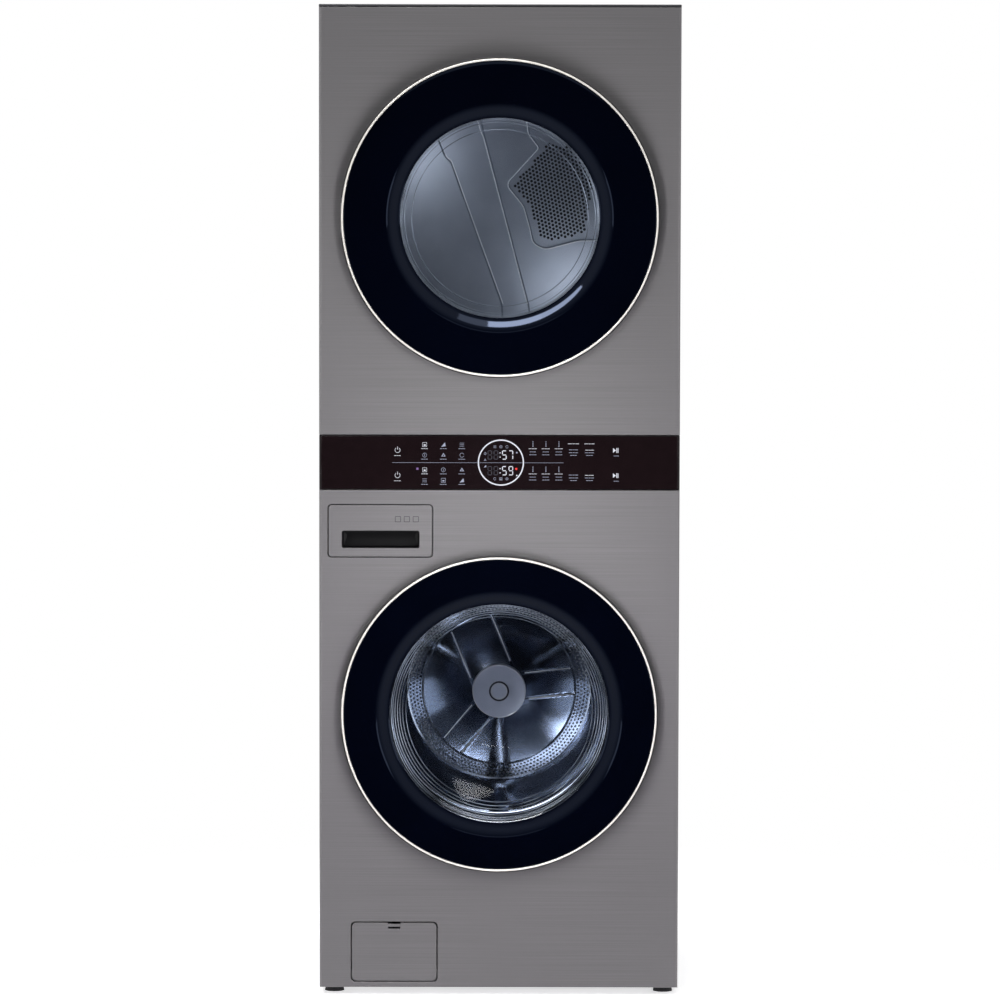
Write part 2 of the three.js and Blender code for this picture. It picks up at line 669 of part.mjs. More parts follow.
const trayFront = FACE_Y + DRAWER_FRONT_DEPTH + FIT;
const trayBack = trayFront + DRAWER_LENGTH;
const trayX = DRAWER_X + 4;
const trayEnd = drawerEnd - 4;
const trayZ = DRAWER_Z + 4;
const trayTop = drawerTop - 16;
const trayThird = (trayEnd - trayX - DRAWER_WALL) / 3;
const compartments = [0, 1, 2].map((i) => block(
  trayX + DRAWER_WALL + i * trayThird, trayX + (i + 1) * trayThird,
  trayFront + DRAWER_WALL, trayBack - DRAWER_WALL, trayZ + DRAWER_WALL, trayTop + 1,
));
add("drawer_tray", cut(
  block(trayX, trayEnd, trayFront, trayBack, trayZ, trayTop),
  ...compartments,
), grey);

const CASE_WALL = 2;
const caseX = DRAWER_X - DRAWER_GAP;
const caseEnd = drawerEnd + DRAWER_GAP;
const caseZ = DRAWER_Z - DRAWER_GAP;
const caseTop = drawerTop + DRAWER_GAP;
const caseBack = trayBack + 16;
add("dispenser_housing", cut(
  block(
    caseX - CASE_WALL, caseEnd + CASE_WALL, FACE_Y + SHEET + FIT, caseBack + CASE_WALL,
    caseZ - CASE_WALL, caseTop + CASE_WALL,
  ),
  block(caseX, caseEnd, FACE_Y, caseBack, caseZ, caseTop),
), grey);

// Pump, its twist-out filter and the door in front of them.
const notchX = SERVICE_X + (SERVICE_WIDTH - NOTCH_WIDTH) / 2;
const serviceTop = SERVICE_Z + SERVICE_HEIGHT;
add("service_door", cut(
  block(SERVICE_X, SERVICE_X + SERVICE_WIDTH, FACE_Y, FACE_Y + 2.7, SERVICE_Z, serviceTop),
  block(notchX, notchX + NOTCH_WIDTH, FACE_Y - 1, FACE_Y + 4, serviceTop - 7, serviceTop + 1),
), steel);

const filterX = SERVICE_X + 56;
const knobY = FACE_Y + 11;
const boreY = knobY + 14;
add("pump_filter", join(
  barY(FILTER_RADIUS, knobY + 6, boreY - FIT, filterX, FILTER_Z),
  block(filterX - 22, filterX + 22, knobY, knobY + 7, FILTER_Z - 5, FILTER_Z + 5),
  barY(FILTER_RADIUS - 8, boreY - 1, boreY + 80, filterX, FILTER_Z),
), grey);

const pumpRear = boreY + 92;
add("drain_pump", join(
  cut(
    join(
      barY(FILTER_RADIUS + 6, boreY, pumpRear, filterX, FILTER_Z),
      block(filterX - 26, filterX + 26, boreY + 30, pumpRear, FLOOR_Z + FIT, FILTER_Z),
    ),
    barY(FILTER_RADIUS - 5, boreY - 1, boreY + 84, filterX, FILTER_Z),
  ),
  barY(30, boreY + 40, pumpRear, 0, 0).rotateZ(-Math.PI / 2).translate(
    filterX - boreY - 20, pumpRear - 32, FILTER_Z,
  ),
), black);

// ---------- Dryer ----------

const bulkheadY = FACE_Y + BULKHEAD_FRONT;
const dryerDrumY = FACE_Y + DRYER_DRUM_FRONT;
const dryerRearY = FACE_Y + DRYER_DRUM_BACK;
const rearBulkheadY = FACE_Y + BULKHEAD_BACK;
const deckDrop = DECK_TOP + FIT - DRYER_AXIS_Z; // the deck, measured from the drum axis
const bulkheadTop = TOP_Z - 6 - DRYER_AXIS_Z;
const motorZ = DECK_TOP + MOTOR_RISE - DRYER_AXIS_Z;
const filterY = FACE_Y + FILTER_SLOT;
const BULKHEAD_MARGIN = 5;

// Front bulkhead: a plate behind the front panel, its throat, and the flange the drum turns on.
const bulkheadPlate = cut(
  block(
    -HALF + BULKHEAD_MARGIN, HALF - BULKHEAD_MARGIN, bulkheadY, bulkheadY + SHEET,
    deckDrop, bulkheadTop,
  ),
  barY(THROAT_RADIUS, bulkheadY - 1, bulkheadY + 4, 0, 0, ROUND),
  barY(44, bulkheadY - 1, bulkheadY + 4, MOTOR_X, motorZ),
);
const throat = turned([
  [THROAT_RADIUS - 2, FACE_Y + SHEET + FIT],
  [THROAT_RADIUS, FACE_Y + SHEET + FIT],
  [THROAT_RADIUS, bulkheadY + 0.5],
  [THROAT_RADIUS + 2, bulkheadY + SHEET],
  [THROAT_RADIUS - 2, bulkheadY + SHEET],
]);
const sealFlange = turned([
  [SEAL_RADIUS - 2, bulkheadY + 0.5],
  [SEAL_RADIUS, bulkheadY + 0.5],
  [SEAL_RADIUS, bulkheadY + 24],
  [SEAL_RADIUS - 2, bulkheadY + 24],
]);
const slotHalf = FILTER_WIDTH / 2 + 4;
add("front_bulkhead", cut(
  join(bulkheadPlate, throat, sealFlange),
  block(-slotHalf, slotHalf, filterY - 13, filterY + 13, -THROAT_RADIUS - 10, 0),
), zinc, dryer);

// Rear bulkhead: a plate with a dish that closes the back of the drum, and the roller pins.
const rollerReach = DRYER_DRUM_RADIUS + ROLLER_RADIUS + 1;
const rollerAngle = THREE.MathUtils.degToRad(ROLLER_ANGLE);
const rollerX = rollerReach * Math.sin(rollerAngle);
const rollerZ = -rollerReach * Math.cos(rollerAngle);
const ROLLER_WIDTH = 25;
const rollerY = dryerRearY - 20 - ROLLER_WIDTH;
const DISH_RISE = 17;
const dish = turned([
  [0, rearBulkheadY - DISH_RISE],
  [SEAL_RADIUS, rearBulkheadY - DISH_RISE],
  [SEAL_RADIUS, rearBulkheadY + 0.5],
  [SEAL_RADIUS - 2, rearBulkheadY + SHEET],
  [SEAL_RADIUS - 2, rearBulkheadY - DISH_RISE + 2],
  [0, rearBulkheadY - DISH_RISE + 2],
]);
const rearPlate = cut(
  block(
    -HALF + BULKHEAD_MARGIN, HALF - BULKHEAD_MARGIN, rearBulkheadY, rearBulkheadY + SHEET,
    deckDrop, bulkheadTop,
  ),
  barY(SEAL_RADIUS - 2, rearBulkheadY - 1, rearBulkheadY + 4, 0, 0, ROUND),
  ductHole.clone().translate(0, 0, -DRYER_AXIS_Z),
);
const ROLLER_PIN = 7.5;
add("rear_bulkhead", join(
  rearPlate,
  dish,
  barY(ROLLER_PIN, rollerY - 3, rearBulkheadY + 1, rollerX, rollerZ, 12),
  barY(ROLLER_PIN, rollerY - 3, rearBulkheadY + 1, -rollerX, rollerZ, 12),
), zinc, dryer);

const rollerProfile = [
  [ROLLER_PIN + 0.5, rollerY],
  [ROLLER_RADIUS, rollerY],
  [ROLLER_RADIUS, rollerY + ROLLER_WIDTH],
  [ROLLER_PIN + 0.5, rollerY + ROLLER_WIDTH],
];
add("support_roller_left", turned(rollerProfile, SMALL).translate(-rollerX, 0, rollerZ), black, dryer);
add("support_roller_right", turned(rollerProfile, SMALL).translate(rollerX, 0, rollerZ), black, dryer);

add("dryer_drum", join(turned([
  [DRYER_DRUM_RADIUS - DRUM_SHEET, dryerDrumY],
  [DRYER_DRUM_RADIUS, dryerDrumY],
  [DRYER_DRUM_RADIUS, dryerRearY],
  [DRYER_DRUM_RADIUS - DRUM_SHEET, dryerRearY],
]), ...lifters(
  DRYER_DRUM_RADIUS - DRUM_SHEET + 0.5, DRYER_DRUM_RADIUS - 66, 45, 14,
  dryerDrumY + 30, dryerRearY - 30,
)), zinc, dryer);

// Drive belt: a flat loop round the drum and the motor pulley.
const beltY = FACE_Y + BELT_Y;
const toPulley = new THREE.Vector2(MOTOR_X, motorZ);
const beltAngle = toPulley.angle();
const beltSpread = Math.acos((DRYER_DRUM_RADIUS - PULLEY_RADIUS) / toPulley.length());
function beltLoop(Path, extra) {
  const loop = new Path();
  const low = beltAngle + beltSpread;
  const high = beltAngle - beltSpread;
  loop.absarc(0, 0, DRYER_DRUM_RADIUS + BELT_CLEARANCE + extra, low, high + 2 * Math.PI);
  loop.absarc(MOTOR_X, motorZ, PULLEY_RADIUS + FIT + extra, high, low);
  return loop;
}
const beltShape = beltLoop(THREE.Shape, BELT_THICKNESS);
beltShape.holes.push(beltLoop(THREE.Path, 0));
add("drive_belt", plate(beltShape, beltY, beltY + BELT_WIDTH, 16), rubber, dryer);

// The idler presses on the belt's lower run, between the pulley and the drum.
const runNormal = new THREE.Vector2(Math.cos(beltAngle + beltSpread), Math.sin(beltAngle + beltSpread));
const runStart = toPulley.clone().addScaledVector(runNormal, PULLEY_RADIUS);
const runEnd = runNormal.clone().multiplyScalar(DRYER_DRUM_RADIUS);
const idler = runStart.clone().lerp(runEnd, IDLER_ALONG)
  .addScaledVector(runNormal, BELT_CLEARANCE + BELT_THICKNESS + FIT + IDLER_RADIUS);
const IDLER_PIN = 4.5;
add("idler_pulley", turned([
  [IDLER_PIN + 0.5, beltY - 2],
  [IDLER_RADIUS, beltY - 2],
  [IDLER_RADIUS, beltY + BELT_WIDTH + 2],
  [IDLER_PIN + 0.5, beltY + BELT_WIDTH + 2],
], SMALL).translate(idler.x, 0, idler.y), black, dryer);

// Motor with its foot, and the arm that holds the idler.
const motorY0 = beltY - 180;
const motorY1 = beltY - 20;
const ARM = 12;
const armLength = Math.hypot(idler.x - MOTOR_X, idler.y - motorZ);
const armAngle = Math.atan2(idler.y - motorZ, idler.x - MOTOR_X);
const idlerArm = block(0, armLength, motorY1 - ARM, motorY1, -ARM, ARM)
  .rotateY(-armAngle).translate(MOTOR_X, 0, motorZ);
add("dryer_motor", cut(
  join(
    barY(MOTOR_RADIUS, motorY0, motorY1, MOTOR_X, motorZ),
    block(MOTOR_X - 38, MOTOR_X + 38, motorY0 + 20, motorY1 - 20, deckDrop, motorZ),
    idlerArm,
    barY(ARM, motorY1 - ARM, motorY1, idler.x, idler.y),
    barY(IDLER_PIN, motorY1 - 1, beltY + BELT_WIDTH + 4, idler.x, idler.y, 12),
  ),
  barY(MOTOR_SHAFT + 2, motorY0 - 1, motorY1 + 1, MOTOR_X, motorZ),
), zinc, dryer);

const blowerY0 = bulkheadY + SHEET + 2;
const blowerY1 = blowerY0 + BLOWER_DEPTH;
add("motor_shaft", join(
  barY(MOTOR_SHAFT, blowerY0 + 16, beltY + BELT_WIDTH + 4, MOTOR_X, motorZ, 12),
  barY(PULLEY_RADIUS, beltY - 2, beltY + BELT_WIDTH + 2, MOTOR_X, motorZ),
), zinc, dryer);

// Blower wheel: a back plate with blades that throw the air outwards.
const WHEEL_RADIUS = BLOWER_RADIUS - 12;
const BLADES = 8;
const blades = Array.from({ length: BLADES }, (_, i) =>
  block(-1.5, 1.5, blowerY0 + 8, blowerY1 - 10, -WHEEL_RADIUS + 1, -WHEEL_RADIUS + 28)
    .rotateY((i * 2 * Math.PI) / BLADES).translate(MOTOR_X, 0, motorZ));
add("blower_wheel", cut(
  join(
    barY(WHEEL_RADIUS, blowerY1 - 12, blowerY1 - 8, MOTOR_X, motorZ),
    barY(MOTOR_SHAFT + 6, blowerY0 + 20, blowerY1 - 10, MOTOR_X, motorZ, 12),
    ...blades,
  ),
  barY(MOTOR_SHAFT + 0.6, blowerY0, blowerY1, MOTOR_X, motorZ, 12),
), black, dryer);

// Blower housing: a round shell, the duct that brings air from the lint filter in front of it,
// and the flat duct that leads under the drum to the vent.
const SHELL = 2;
const ductZ = DUCT_Z - DRYER_AXIS_Z;
const outletTop = ductZ + 30;
const scoopY0 = filterY - 17;
const scoopY1 = bulkheadY - 2;
const scoopTop = -THROAT_RADIUS - 8;
const scoopZ = scoopTop - 166;
const outletEnd = DUCT_X + DUCT_RADIUS + 6;
const ductZ0 = deckDrop + 2;
const housingOuter = join(
  barY(BLOWER_RADIUS, blowerY0, blowerY1, MOTOR_X, motorZ),
  block(MOTOR_X, outletEnd, blowerY0, blowerY1, ductZ0, outletTop + SHELL),
  barY(42, scoopY0, blowerY0 + 2, MOTOR_X, motorZ),
  block(MOTOR_X, -60, scoopY0, scoopY1, motorZ - 42, motorZ + 42),
  block(-slotHalf - 4, slotHalf + 4, scoopY0, scoopY1, scoopZ, scoopTop),
);
const housingInner = join(
  barY(BLOWER_RADIUS - SHELL, blowerY0 + SHELL, blowerY1 - SHELL, MOTOR_X, motorZ),
  block(
    MOTOR_X, outletEnd - SHELL, blowerY0 + SHELL, blowerY1 - SHELL,
    ductZ0 + SHELL, outletTop,
  ),
  barY(42 - SHELL, scoopY0 + SHELL, blowerY0 + 4, MOTOR_X, motorZ),
  block(MOTOR_X, -60, scoopY0 + SHELL, scoopY1 - SHELL, motorZ - 42 + SHELL, motorZ + 42 - SHELL),
  block(
    -slotHalf - 4 + SHELL, slotHalf + 4 - SHELL, scoopY0 + SHELL, scoopY1 - SHELL,
    scoopZ + SHELL, scoopTop + 1,
  ),
);
add("blower_housing", cut(
  housingOuter,
  housingInner,
  barY(MOTOR_SHAFT + 4, blowerY1 - SHELL - 1, blowerY1 + 1, MOTOR_X, motorZ, 12),
  barY(DUCT_RADIUS - 4, blowerY1 - SHELL - 1, blowerY1 + 1, DUCT_X, ductZ),
), grey, dryer);

add("exhaust_duct", turned([
  [DUCT_RADIUS - 2, blowerY1 + FIT],
  [DUCT_RADIUS, blowerY1 + FIT],
  [DUCT_RADIUS, DEPTH / 2],
  [DUCT_RADIUS - 2, DEPTH / 2],
], SMALL).translate(DUCT_X, 0, ductZ), zinc, dryer);

const FILTER_FRAME = 4;
const filterTop = scoopTop - 4;
const filterLow = filterTop - 116;
const filterHalf = FILTER_WIDTH / 2;
add("lint_filter", join(
  cut(
    block(-filterHalf, filterHalf, filterY - 9, filterY + 9, filterLow, filterTop),
    block(
      -filterHalf + FILTER_FRAME, filterHalf - FILTER_FRAME, filterY - 7, filterY + 7,
      filterLow + FILTER_FRAME, filterTop + 1,
    ),
  ),
  block(-34, 34, filterY - 9, filterY - 6, filterTop - 1, filterTop + 17),
), grey, dryer);

const heaterX = 30;
const heaterY = rearBulkheadY + SHEET + FIT;
add("heater_housing", cut(
  block(heaterX, heaterX + 150, heaterY, INNER_REAR - 6, -300, 150),
  block(heaterX + 2, heaterX + 148, heaterY - 1, INNER_REAR - 8, -301, 148),
), zinc, dryer);

export default stack;
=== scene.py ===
import math

import bmesh
import bpy
from mathutils import Matrix, Vector


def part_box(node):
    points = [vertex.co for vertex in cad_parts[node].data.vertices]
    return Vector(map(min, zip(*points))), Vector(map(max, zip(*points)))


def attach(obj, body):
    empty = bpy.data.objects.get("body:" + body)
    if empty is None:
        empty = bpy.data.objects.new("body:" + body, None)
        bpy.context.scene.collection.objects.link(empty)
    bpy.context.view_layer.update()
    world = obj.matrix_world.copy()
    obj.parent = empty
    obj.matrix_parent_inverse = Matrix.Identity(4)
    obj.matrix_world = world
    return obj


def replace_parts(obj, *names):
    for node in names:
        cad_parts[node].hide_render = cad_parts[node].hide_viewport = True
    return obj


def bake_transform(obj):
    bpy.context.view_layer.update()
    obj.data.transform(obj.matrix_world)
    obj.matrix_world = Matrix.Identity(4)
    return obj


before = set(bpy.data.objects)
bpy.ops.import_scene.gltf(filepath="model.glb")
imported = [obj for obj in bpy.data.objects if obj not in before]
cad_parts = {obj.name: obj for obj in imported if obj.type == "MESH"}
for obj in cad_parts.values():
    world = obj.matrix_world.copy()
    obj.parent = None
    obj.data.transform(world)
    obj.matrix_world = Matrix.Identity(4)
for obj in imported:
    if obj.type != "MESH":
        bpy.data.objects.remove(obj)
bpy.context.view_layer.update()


# ---------- Studio ----------
# The stack stands on a pale floor in a white studio. Large soft boxes light it from both sides
# and from above; the room in front of it is dark, so the black glass stays black.
floor_mesh = bpy.data.meshes.new("floor")
floor_shape = bmesh.new()
bmesh.ops.create_circle(floor_shape, cap_ends=True, radius=2, segments=96)
floor_shape.to_mesh(floor_mesh)
floor_shape.free()
floor = bpy.data.objects.new("floor", floor_mesh)
bpy.context.scene.collection.objects.link(floor)
floor.visible_glossy = False

floor_finish = bpy.data.materials.new("pale_floor")
floor_finish.use_nodes = True
floor_finish.node_tree.nodes["Principled BSDF"].inputs["Base Color"].default_value = (0.86, 0.86, 0.86, 1)
floor_finish.node_tree.nodes["Principled BSDF"].inputs["Roughness"].default_value = 0.8
floor_finish.node_tree.nodes["Principled BSDF"].inputs["Emission Strength"].default_value = 0.55
floor_tree = floor_finish.node_tree
floor_place = floor_tree.nodes.new("ShaderNodeTexCoord")
floor_reach = floor_tree.nodes.new("ShaderNodeVectorMath")
floor_reach.operation = "LENGTH"
floor_fade = floor_tree.nodes.new("ShaderNodeMapRange")
floor_fade.inputs["From Min"].default_value = 0.7
floor_fade.inputs["From Max"].default_value = 1.7
floor_clear = floor_tree.nodes.new("ShaderNodeBsdfTransparent")
floor_mix = floor_tree.nodes.new("ShaderNodeMixShader")
floor_tree.links.new(floor_place.outputs["Object"], floor_reach.inputs[0])
floor_tree.links.new(floor_reach.outputs["Value"], floor_fade.inputs["Value"])
floor_tree.links.new(floor_fade.outputs["Result"], floor_mix.inputs["Fac"])
floor_tree.links.new(floor_tree.nodes["Principled BSDF"].outputs["BSDF"], floor_mix.inputs[1])
floor_tree.links.new(floor_clear.outputs["BSDF"], floor_mix.inputs[2])
floor_tree.links.new(floor_mix.outputs["Shader"], floor_tree.nodes["Material Output"].inputs["Surface"])
floor_mesh.materials.append(floor_finish)

room = bpy.data.worlds.new("studio")
room.use_nodes = True
bpy.context.scene.world = room
sky = room.node_tree
seen = sky.nodes.new("ShaderNodeBackground")
seen.inputs["Color"].default_value = (1, 1, 1, 1)
seen.inputs["Strength"].default_value = 1.0
mirrored = sky.nodes["Background"]
direction = sky.nodes.new("ShaderNodeTexCoord")
facing = sky.nodes.new("ShaderNodeVectorMath")
facing.operation = "DOT_PRODUCT"
facing.inputs[1].default_value = (0, -1, 0)
sky.links.new(direction.outputs["Generated"], facing.inputs[0])
fade = sky.nodes.new("ShaderNodeValToRGB")
fade.color_ramp.elements[0].position = 0.3
fade.color_ramp.elements[0].color = (0.62, 0.62, 0.63, 1)
fade.color_ramp.elements[1].position = 0.93
fade.color_ramp.elements[1].color = (0.03, 0.03, 0.034, 1)
sky.links.new(facing.outputs["Value"], fade.inputs["Fac"])
sky.links.new(fade.outputs["Color"], mirrored.inputs["Color"])
ray = sky.nodes.new("ShaderNodeLightPath")
choice = sky.nodes.new("ShaderNodeMixShader")
sky.links.new(ray.outputs["Is Camera Ray"], choice.inputs["Fac"])
sky.links.new(mirrored.outputs["Background"], choice.inputs[1])
sky.links.new(seen.outputs["Background"], choice.inputs[2])
sky.links.new(choice.outputs["Shader"], sky.nodes["World Output"].inputs["Surface"])
bpy.context.scene.view_settings.view_transform = "Standard"

# Each lamp: name, place, point it faces, width, height, power in watts, and whether shiny
# surfaces mirror it. The lamps in the drums stand in for the light that real drums get from their
# own lamps.
LAMPS = [
    ("left_box", (-3.4, -4.6, 0.9), (0, -0.3, 0.9), 1.6, 1.6, 13, True),
    ("right_box", (3.4, -4.6, 0.9), (0, -0.3, 0.9), 1.6, 1.6, 15, True),
    ("front_box", (0, -6.2, 3.9), (0, -0.3, 1.0), 3.2, 1.4, 10, True),
    ("top_box", (0, -0.2, 4.6), (0, 0, 0.9), 2.6, 2.6, 50, True),
    ("rear_box", (0, 5.0, 2.6), (0, 0, 0.9), 3.4, 2.4, 62, True),
    ("strip_box", (-1.5, -1.0, 4.2), (-1.5, -0.95, 0), 3.6, 0.5, 100, True),
    ("near_fill", (0, -1.15, 1.02), (0, -0.3, 1.02), 0.12, 1.15, 9.4, False),
    ("low_fill", (0, -1.9, 0.45), (0, -0.3, 0.30), 0.5, 0.5, 9, False),
    ("dryer_lamp_left", (-0.20, -0.18, 1.62), (-0.12, 0.28, 1.58), 0.08, 0.08, 0.28, True),
    ("dryer_lamp_right", (0.17, -0.18, 1.33), (0.06, 0.28, 1.38), 0.10, 0.10, 0.30, True),
    ("washer_lamp_left", (-0.09, -0.22, 0.67), (-0.02, 0.05, 0.56), 0.05, 0.05, 0.055, True),
    ("washer_lamp_right", (0.12, -0.22, 0.45), (0.03, 0.05, 0.50), 0.05, 0.05, 0.10, True),
    ("washer_lamp_low", (0.05, -0.225, 0.47), (0.02, -0.19, 0.28), 0.22, 0.03, 0.16, True),
]
for name, place, target, width, height, power, mirrored_too in LAMPS:
    lamp = bpy.data.lights.new(name, "AREA")
    lamp.shape = "RECTANGLE"
    lamp.size, lamp.size_y = width, height
    lamp.energy = power
    holder = bpy.data.objects.new(name, lamp)
    holder.location = place
    holder.rotation_mode = "QUATERNION"
    holder.rotation_quaternion = (Vector(target) - Vector(place)).to_track_quat("-Z", "Y")
    holder.visible_camera = False
    holder.visible_glossy = mirrored_too
    bpy.context.scene.collection.objects.link(holder)

bpy.data.lights["low_fill"].color = (1.0, 0.93, 1.08)

# The camera stands 8.7 m in front of the cabinet, a little below its top, and looks slightly down.
CAMERA_LENS = 165.0
CAMERA_DISTANCE = 8.7
CAMERA_HEIGHT = 1.5316
CAMERA_TILT = 0.0667
CAMERA_ROLL = -0.0018
FACE_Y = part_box("dryer_front_panel")[0].y
camera = bpy.data.objects.new("camera", bpy.data.cameras.new("camera"))
camera.data.lens = CAMERA_LENS
camera.data.sensor_width = 36
camera.data.clip_end = 100
camera.location = (0.0001, FACE_Y - CAMERA_DISTANCE, CAMERA_HEIGHT)
camera.rotation_euler = (math.pi / 2 - CAMERA_TILT, CAMERA_ROLL, 0)
bpy.context.scene.collection.objects.link(camera)
bpy.context.scene.camera = camera


# ---------- Front panels of the washer and the dryer ----------
# Each front is one sheet of graphite-tinted stainless steel, brushed from side to side, rolled
# back round all its edges and screwed to the cabinet from behind.
def finish(name, colour, metal=0.0, rough=0.5, tone=0.05, scale=(8, 8, 8), bump=0.0, spread=0.04, **sockets):
    """A surface whose colour and roughness vary a little, on a pattern of that scale, with a fine relief."""
    made = bpy.data.materials.new(name)
    made.use_nodes = True
    tree = made.node_tree
    shader = tree.nodes["Principled BSDF"]
    shader.inputs["Metallic"].default_value = metal
    for socket, value in sockets.items():
        shader.inputs[socket.replace("_", " ").title().replace("Ior", "IOR")].default_value = value
    place = tree.nodes.new("ShaderNodeTexCoord")
    stretch = tree.nodes.new("ShaderNodeMapping")
    stretch.inputs["Scale"].default_value = scale
    grain = tree.nodes.new("ShaderNodeTexNoise")
    grain.inputs["Detail"].default_value = 4
    grain.inputs["Scale"].default_value = 1
    ramp = tree.nodes.new("ShaderNodeValToRGB")
    ramp.color_ramp.elements[0].position = 0.3
    ramp.color_ramp.elements[1].position = 0.7
    ramp.color_ramp.elements[0].color = (*[c * (1 - tone) for c in colour], 1)
    ramp.color_ramp.elements[1].color = (*[min(1, c * (1 + tone)) for c in colour], 1)
    shine = tree.nodes.new("ShaderNodeMapRange")
    shine.inputs["To Min"].default_value = max(0, rough - spread)
    shine.inputs["To Max"].default_value = min(1, rough + spread)
    tree.links.new(place.outputs["Object"], stretch.inputs["Vector"])
    tree.links.new(stretch.outputs["Vector"], grain.inputs["Vector"])
    tree.links.new(grain.outputs["Fac"], ramp.inputs["Fac"])
    tree.links.new(ramp.outputs["Color"], shader.inputs["Base Color"])
    tree.links.new(grain.outputs["Fac"], shine.inputs["Value"])
    tree.links.new(shine.outputs["Result"], shader.inputs["Roughness"])
    if bump:
        relief = tree.nodes.new("ShaderNodeBump")
        relief.inputs["Strength"].default_value = bump
        relief.inputs["Distance"].default_value = 0.0004
        tree.links.new(grain.outputs["Fac"], relief.inputs["Height"])
        tree.links.new(relief.outputs["Normal"], shader.inputs["Normal"])
    return made


def piece(name, shape, surface, body, sharp=35):
    """The bmesh as a named piece on a body, smooth but for edges sharper than that angle."""
    mesh = bpy.data.meshes.new(name)
    shape.to_mesh(mesh)
    shape.free()
    mesh.polygons.foreach_set("use_smooth", [True] * len(mesh.polygons))
    mesh.set_sharp_from_angle(angle=math.radians(sharp))
    mesh.materials.append(surface)
    item = bpy.data.objects.new(name, mesh)
    bpy.context.scene.collection.objects.link(item)
    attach(item, body)
    return item


def grown(loop, by_x, by_z):
    """The closed loop of (x, z) points pushed outwards by those distances, or inwards by negative ones."""
    turn = sum(a[0] * b[1] - b[0] * a[1] for a, b in zip(loop, loop[1:] + loop[:1]))
    side = 1 if turn > 0 else -1
    out = []
    for i, (x, z) in enumerate(loop):
        before = Vector(loop[i]) - Vector(loop[i - 1])
        after = Vector(loop[(i + 1) % len(loop)]) - Vector(loop[i])
        n1 = Vector((before.y, -before.x)).normalized() * side
        n2 = Vector((after.y, -after.x)).normalized() * side
        push = (n1 + n2) / max(0.3, 1 + n1.dot(n2))
        out.append((x + push.x * by_x, z + push.y * by_z))
    return out


def ring(shape, loop, y, place):
    """The loop as a closed run of vertices at depth y."""
    return [shape.verts.new(place @ Vector((x, y, z))) for x, z in loop]


def band(shape, first, second):
    """Faces between two rings of the same length."""
    made = []
    for i in range(len(first)):
        j = (i + 1) % len(first)
        made.append(shape.faces.new((first[i], first[j], second[j], second[i])))
    return made


def fill(shape, *rings):
    """One flat face region inside the first ring and outside the others."""
    edges = []
    for loop in rings:
        for i in range(len(loop)):
            pair = (loop[i], loop[(i + 1) % len(loop)])
            edges.append(shape.edges.get(pair) or shape.edges.new(pair))
    return bmesh.ops.triangle_fill(shape, edges=edges, use_beauty=True)["geom"]


def circle(x, z, radius, steps=128):
    turns = [2 * math.pi * i / steps for i in range(steps)]
    return [(x + radius * math.cos(a), z + radius * math.sin(a)) for a in turns]


def rounded_box(x0, x1, z0, z1, radius, steps=6):
    """A rectangle with its corners rounded."""
    if not radius:
        return [(x0, z0), (x1, z0), (x1, z1), (x0, z1)]
    out = []
    corners = [(x1 - radius, z1 - radius, 0), (x0 + radius, z1 - radius, 1),
               (x0 + radius, z0 + radius, 2), (x1 - radius, z0 + radius, 3)]
    for cx, cz, quarter in corners:
        for i in range(steps + 1):
            a = math.pi / 2 * (quarter + i / steps)
            out.append((cx + radius * math.cos(a), cz + radius * math.sin(a)))
    return out


def pressed_sheet(outline, roll, rim, holes=(), steps=(), place=Matrix(), wall=0.0012, face_y=0.0):
    """A sheet pressed from one piece: its outline is rolled back by roll = (x, z, depth) and ends in a rim.
    Each hole is (loop, roll, rim), and each step is (loop, ramp, depth) with a flat bottom."""
    shape = bmesh.new()
    flats = []

    def rolled(loop, radii, depth, side):
        turns = 6 if max(radii) > 0.001 else 3
        rings = []
        for i in range(turns + 1):
            a = math.pi / 2 * i / turns
            inset = side * (1 - math.sin(a))
            level = face_y + radii[2] * (1 - math.cos(a))
            rings.append(ring(shape, grown(loop, inset * radii[0], inset * radii[1]), level, place))
        if depth > radii[2]:
            rings.append(ring(shape, loop, face_y + depth, place))
        for first, second in zip(rings, rings[1:]):
            band(shape, first, second)
        return rings[0]

    edge = rolled(outline, roll, rim, -1)
    for loop, radius, depth in holes:
        flats.append(rolled(loop, (radius, radius, radius), depth, 1))
    for loop, ramp, depth in steps:
        rings = []
        for i in range(7):
            t = i / 6
            level = face_y + depth * t * t * (3 - 2 * t)
            rings.append(ring(shape, grown(loop, ramp * (1 - t), ramp * (1 - t)), level, place))
        for first, second in zip(rings, rings[1:]):
            band(shape, first, second)
        fill(shape, rings[-1])
        flats.append(rings[0])
    fill(shape, edge, *flats)
    bmesh.ops.recalc_face_normals(shape, faces=shape.faces[:])
    outward = (place.to_3x3() @ Vector((0, -1, 0))).normalized()
    largest = max(shape.faces, key=lambda f: f.calc_area())
    if largest.normal.dot(outward) < 0:
        bmesh.ops.reverse_faces(shape, faces=shape.faces[:])
    if wall:
        thicken(shape, wall)
    return shape


def thicken(shape, wall):
    """Gives an open skin that thickness, on its inner side."""
    shape.normal_update()
    bmesh.ops.solidify(shape, geom=shape.faces[:], thickness=wall)
    bmesh.ops.recalc_face_normals(shape, faces=shape.faces[:])


def flat_normals(item):
    """Shades wide flat faces as flat, next to rolled edges."""
    item.modifiers.new("flat_faces", "WEIGHTED_NORMAL").keep_sharp = True
    return item


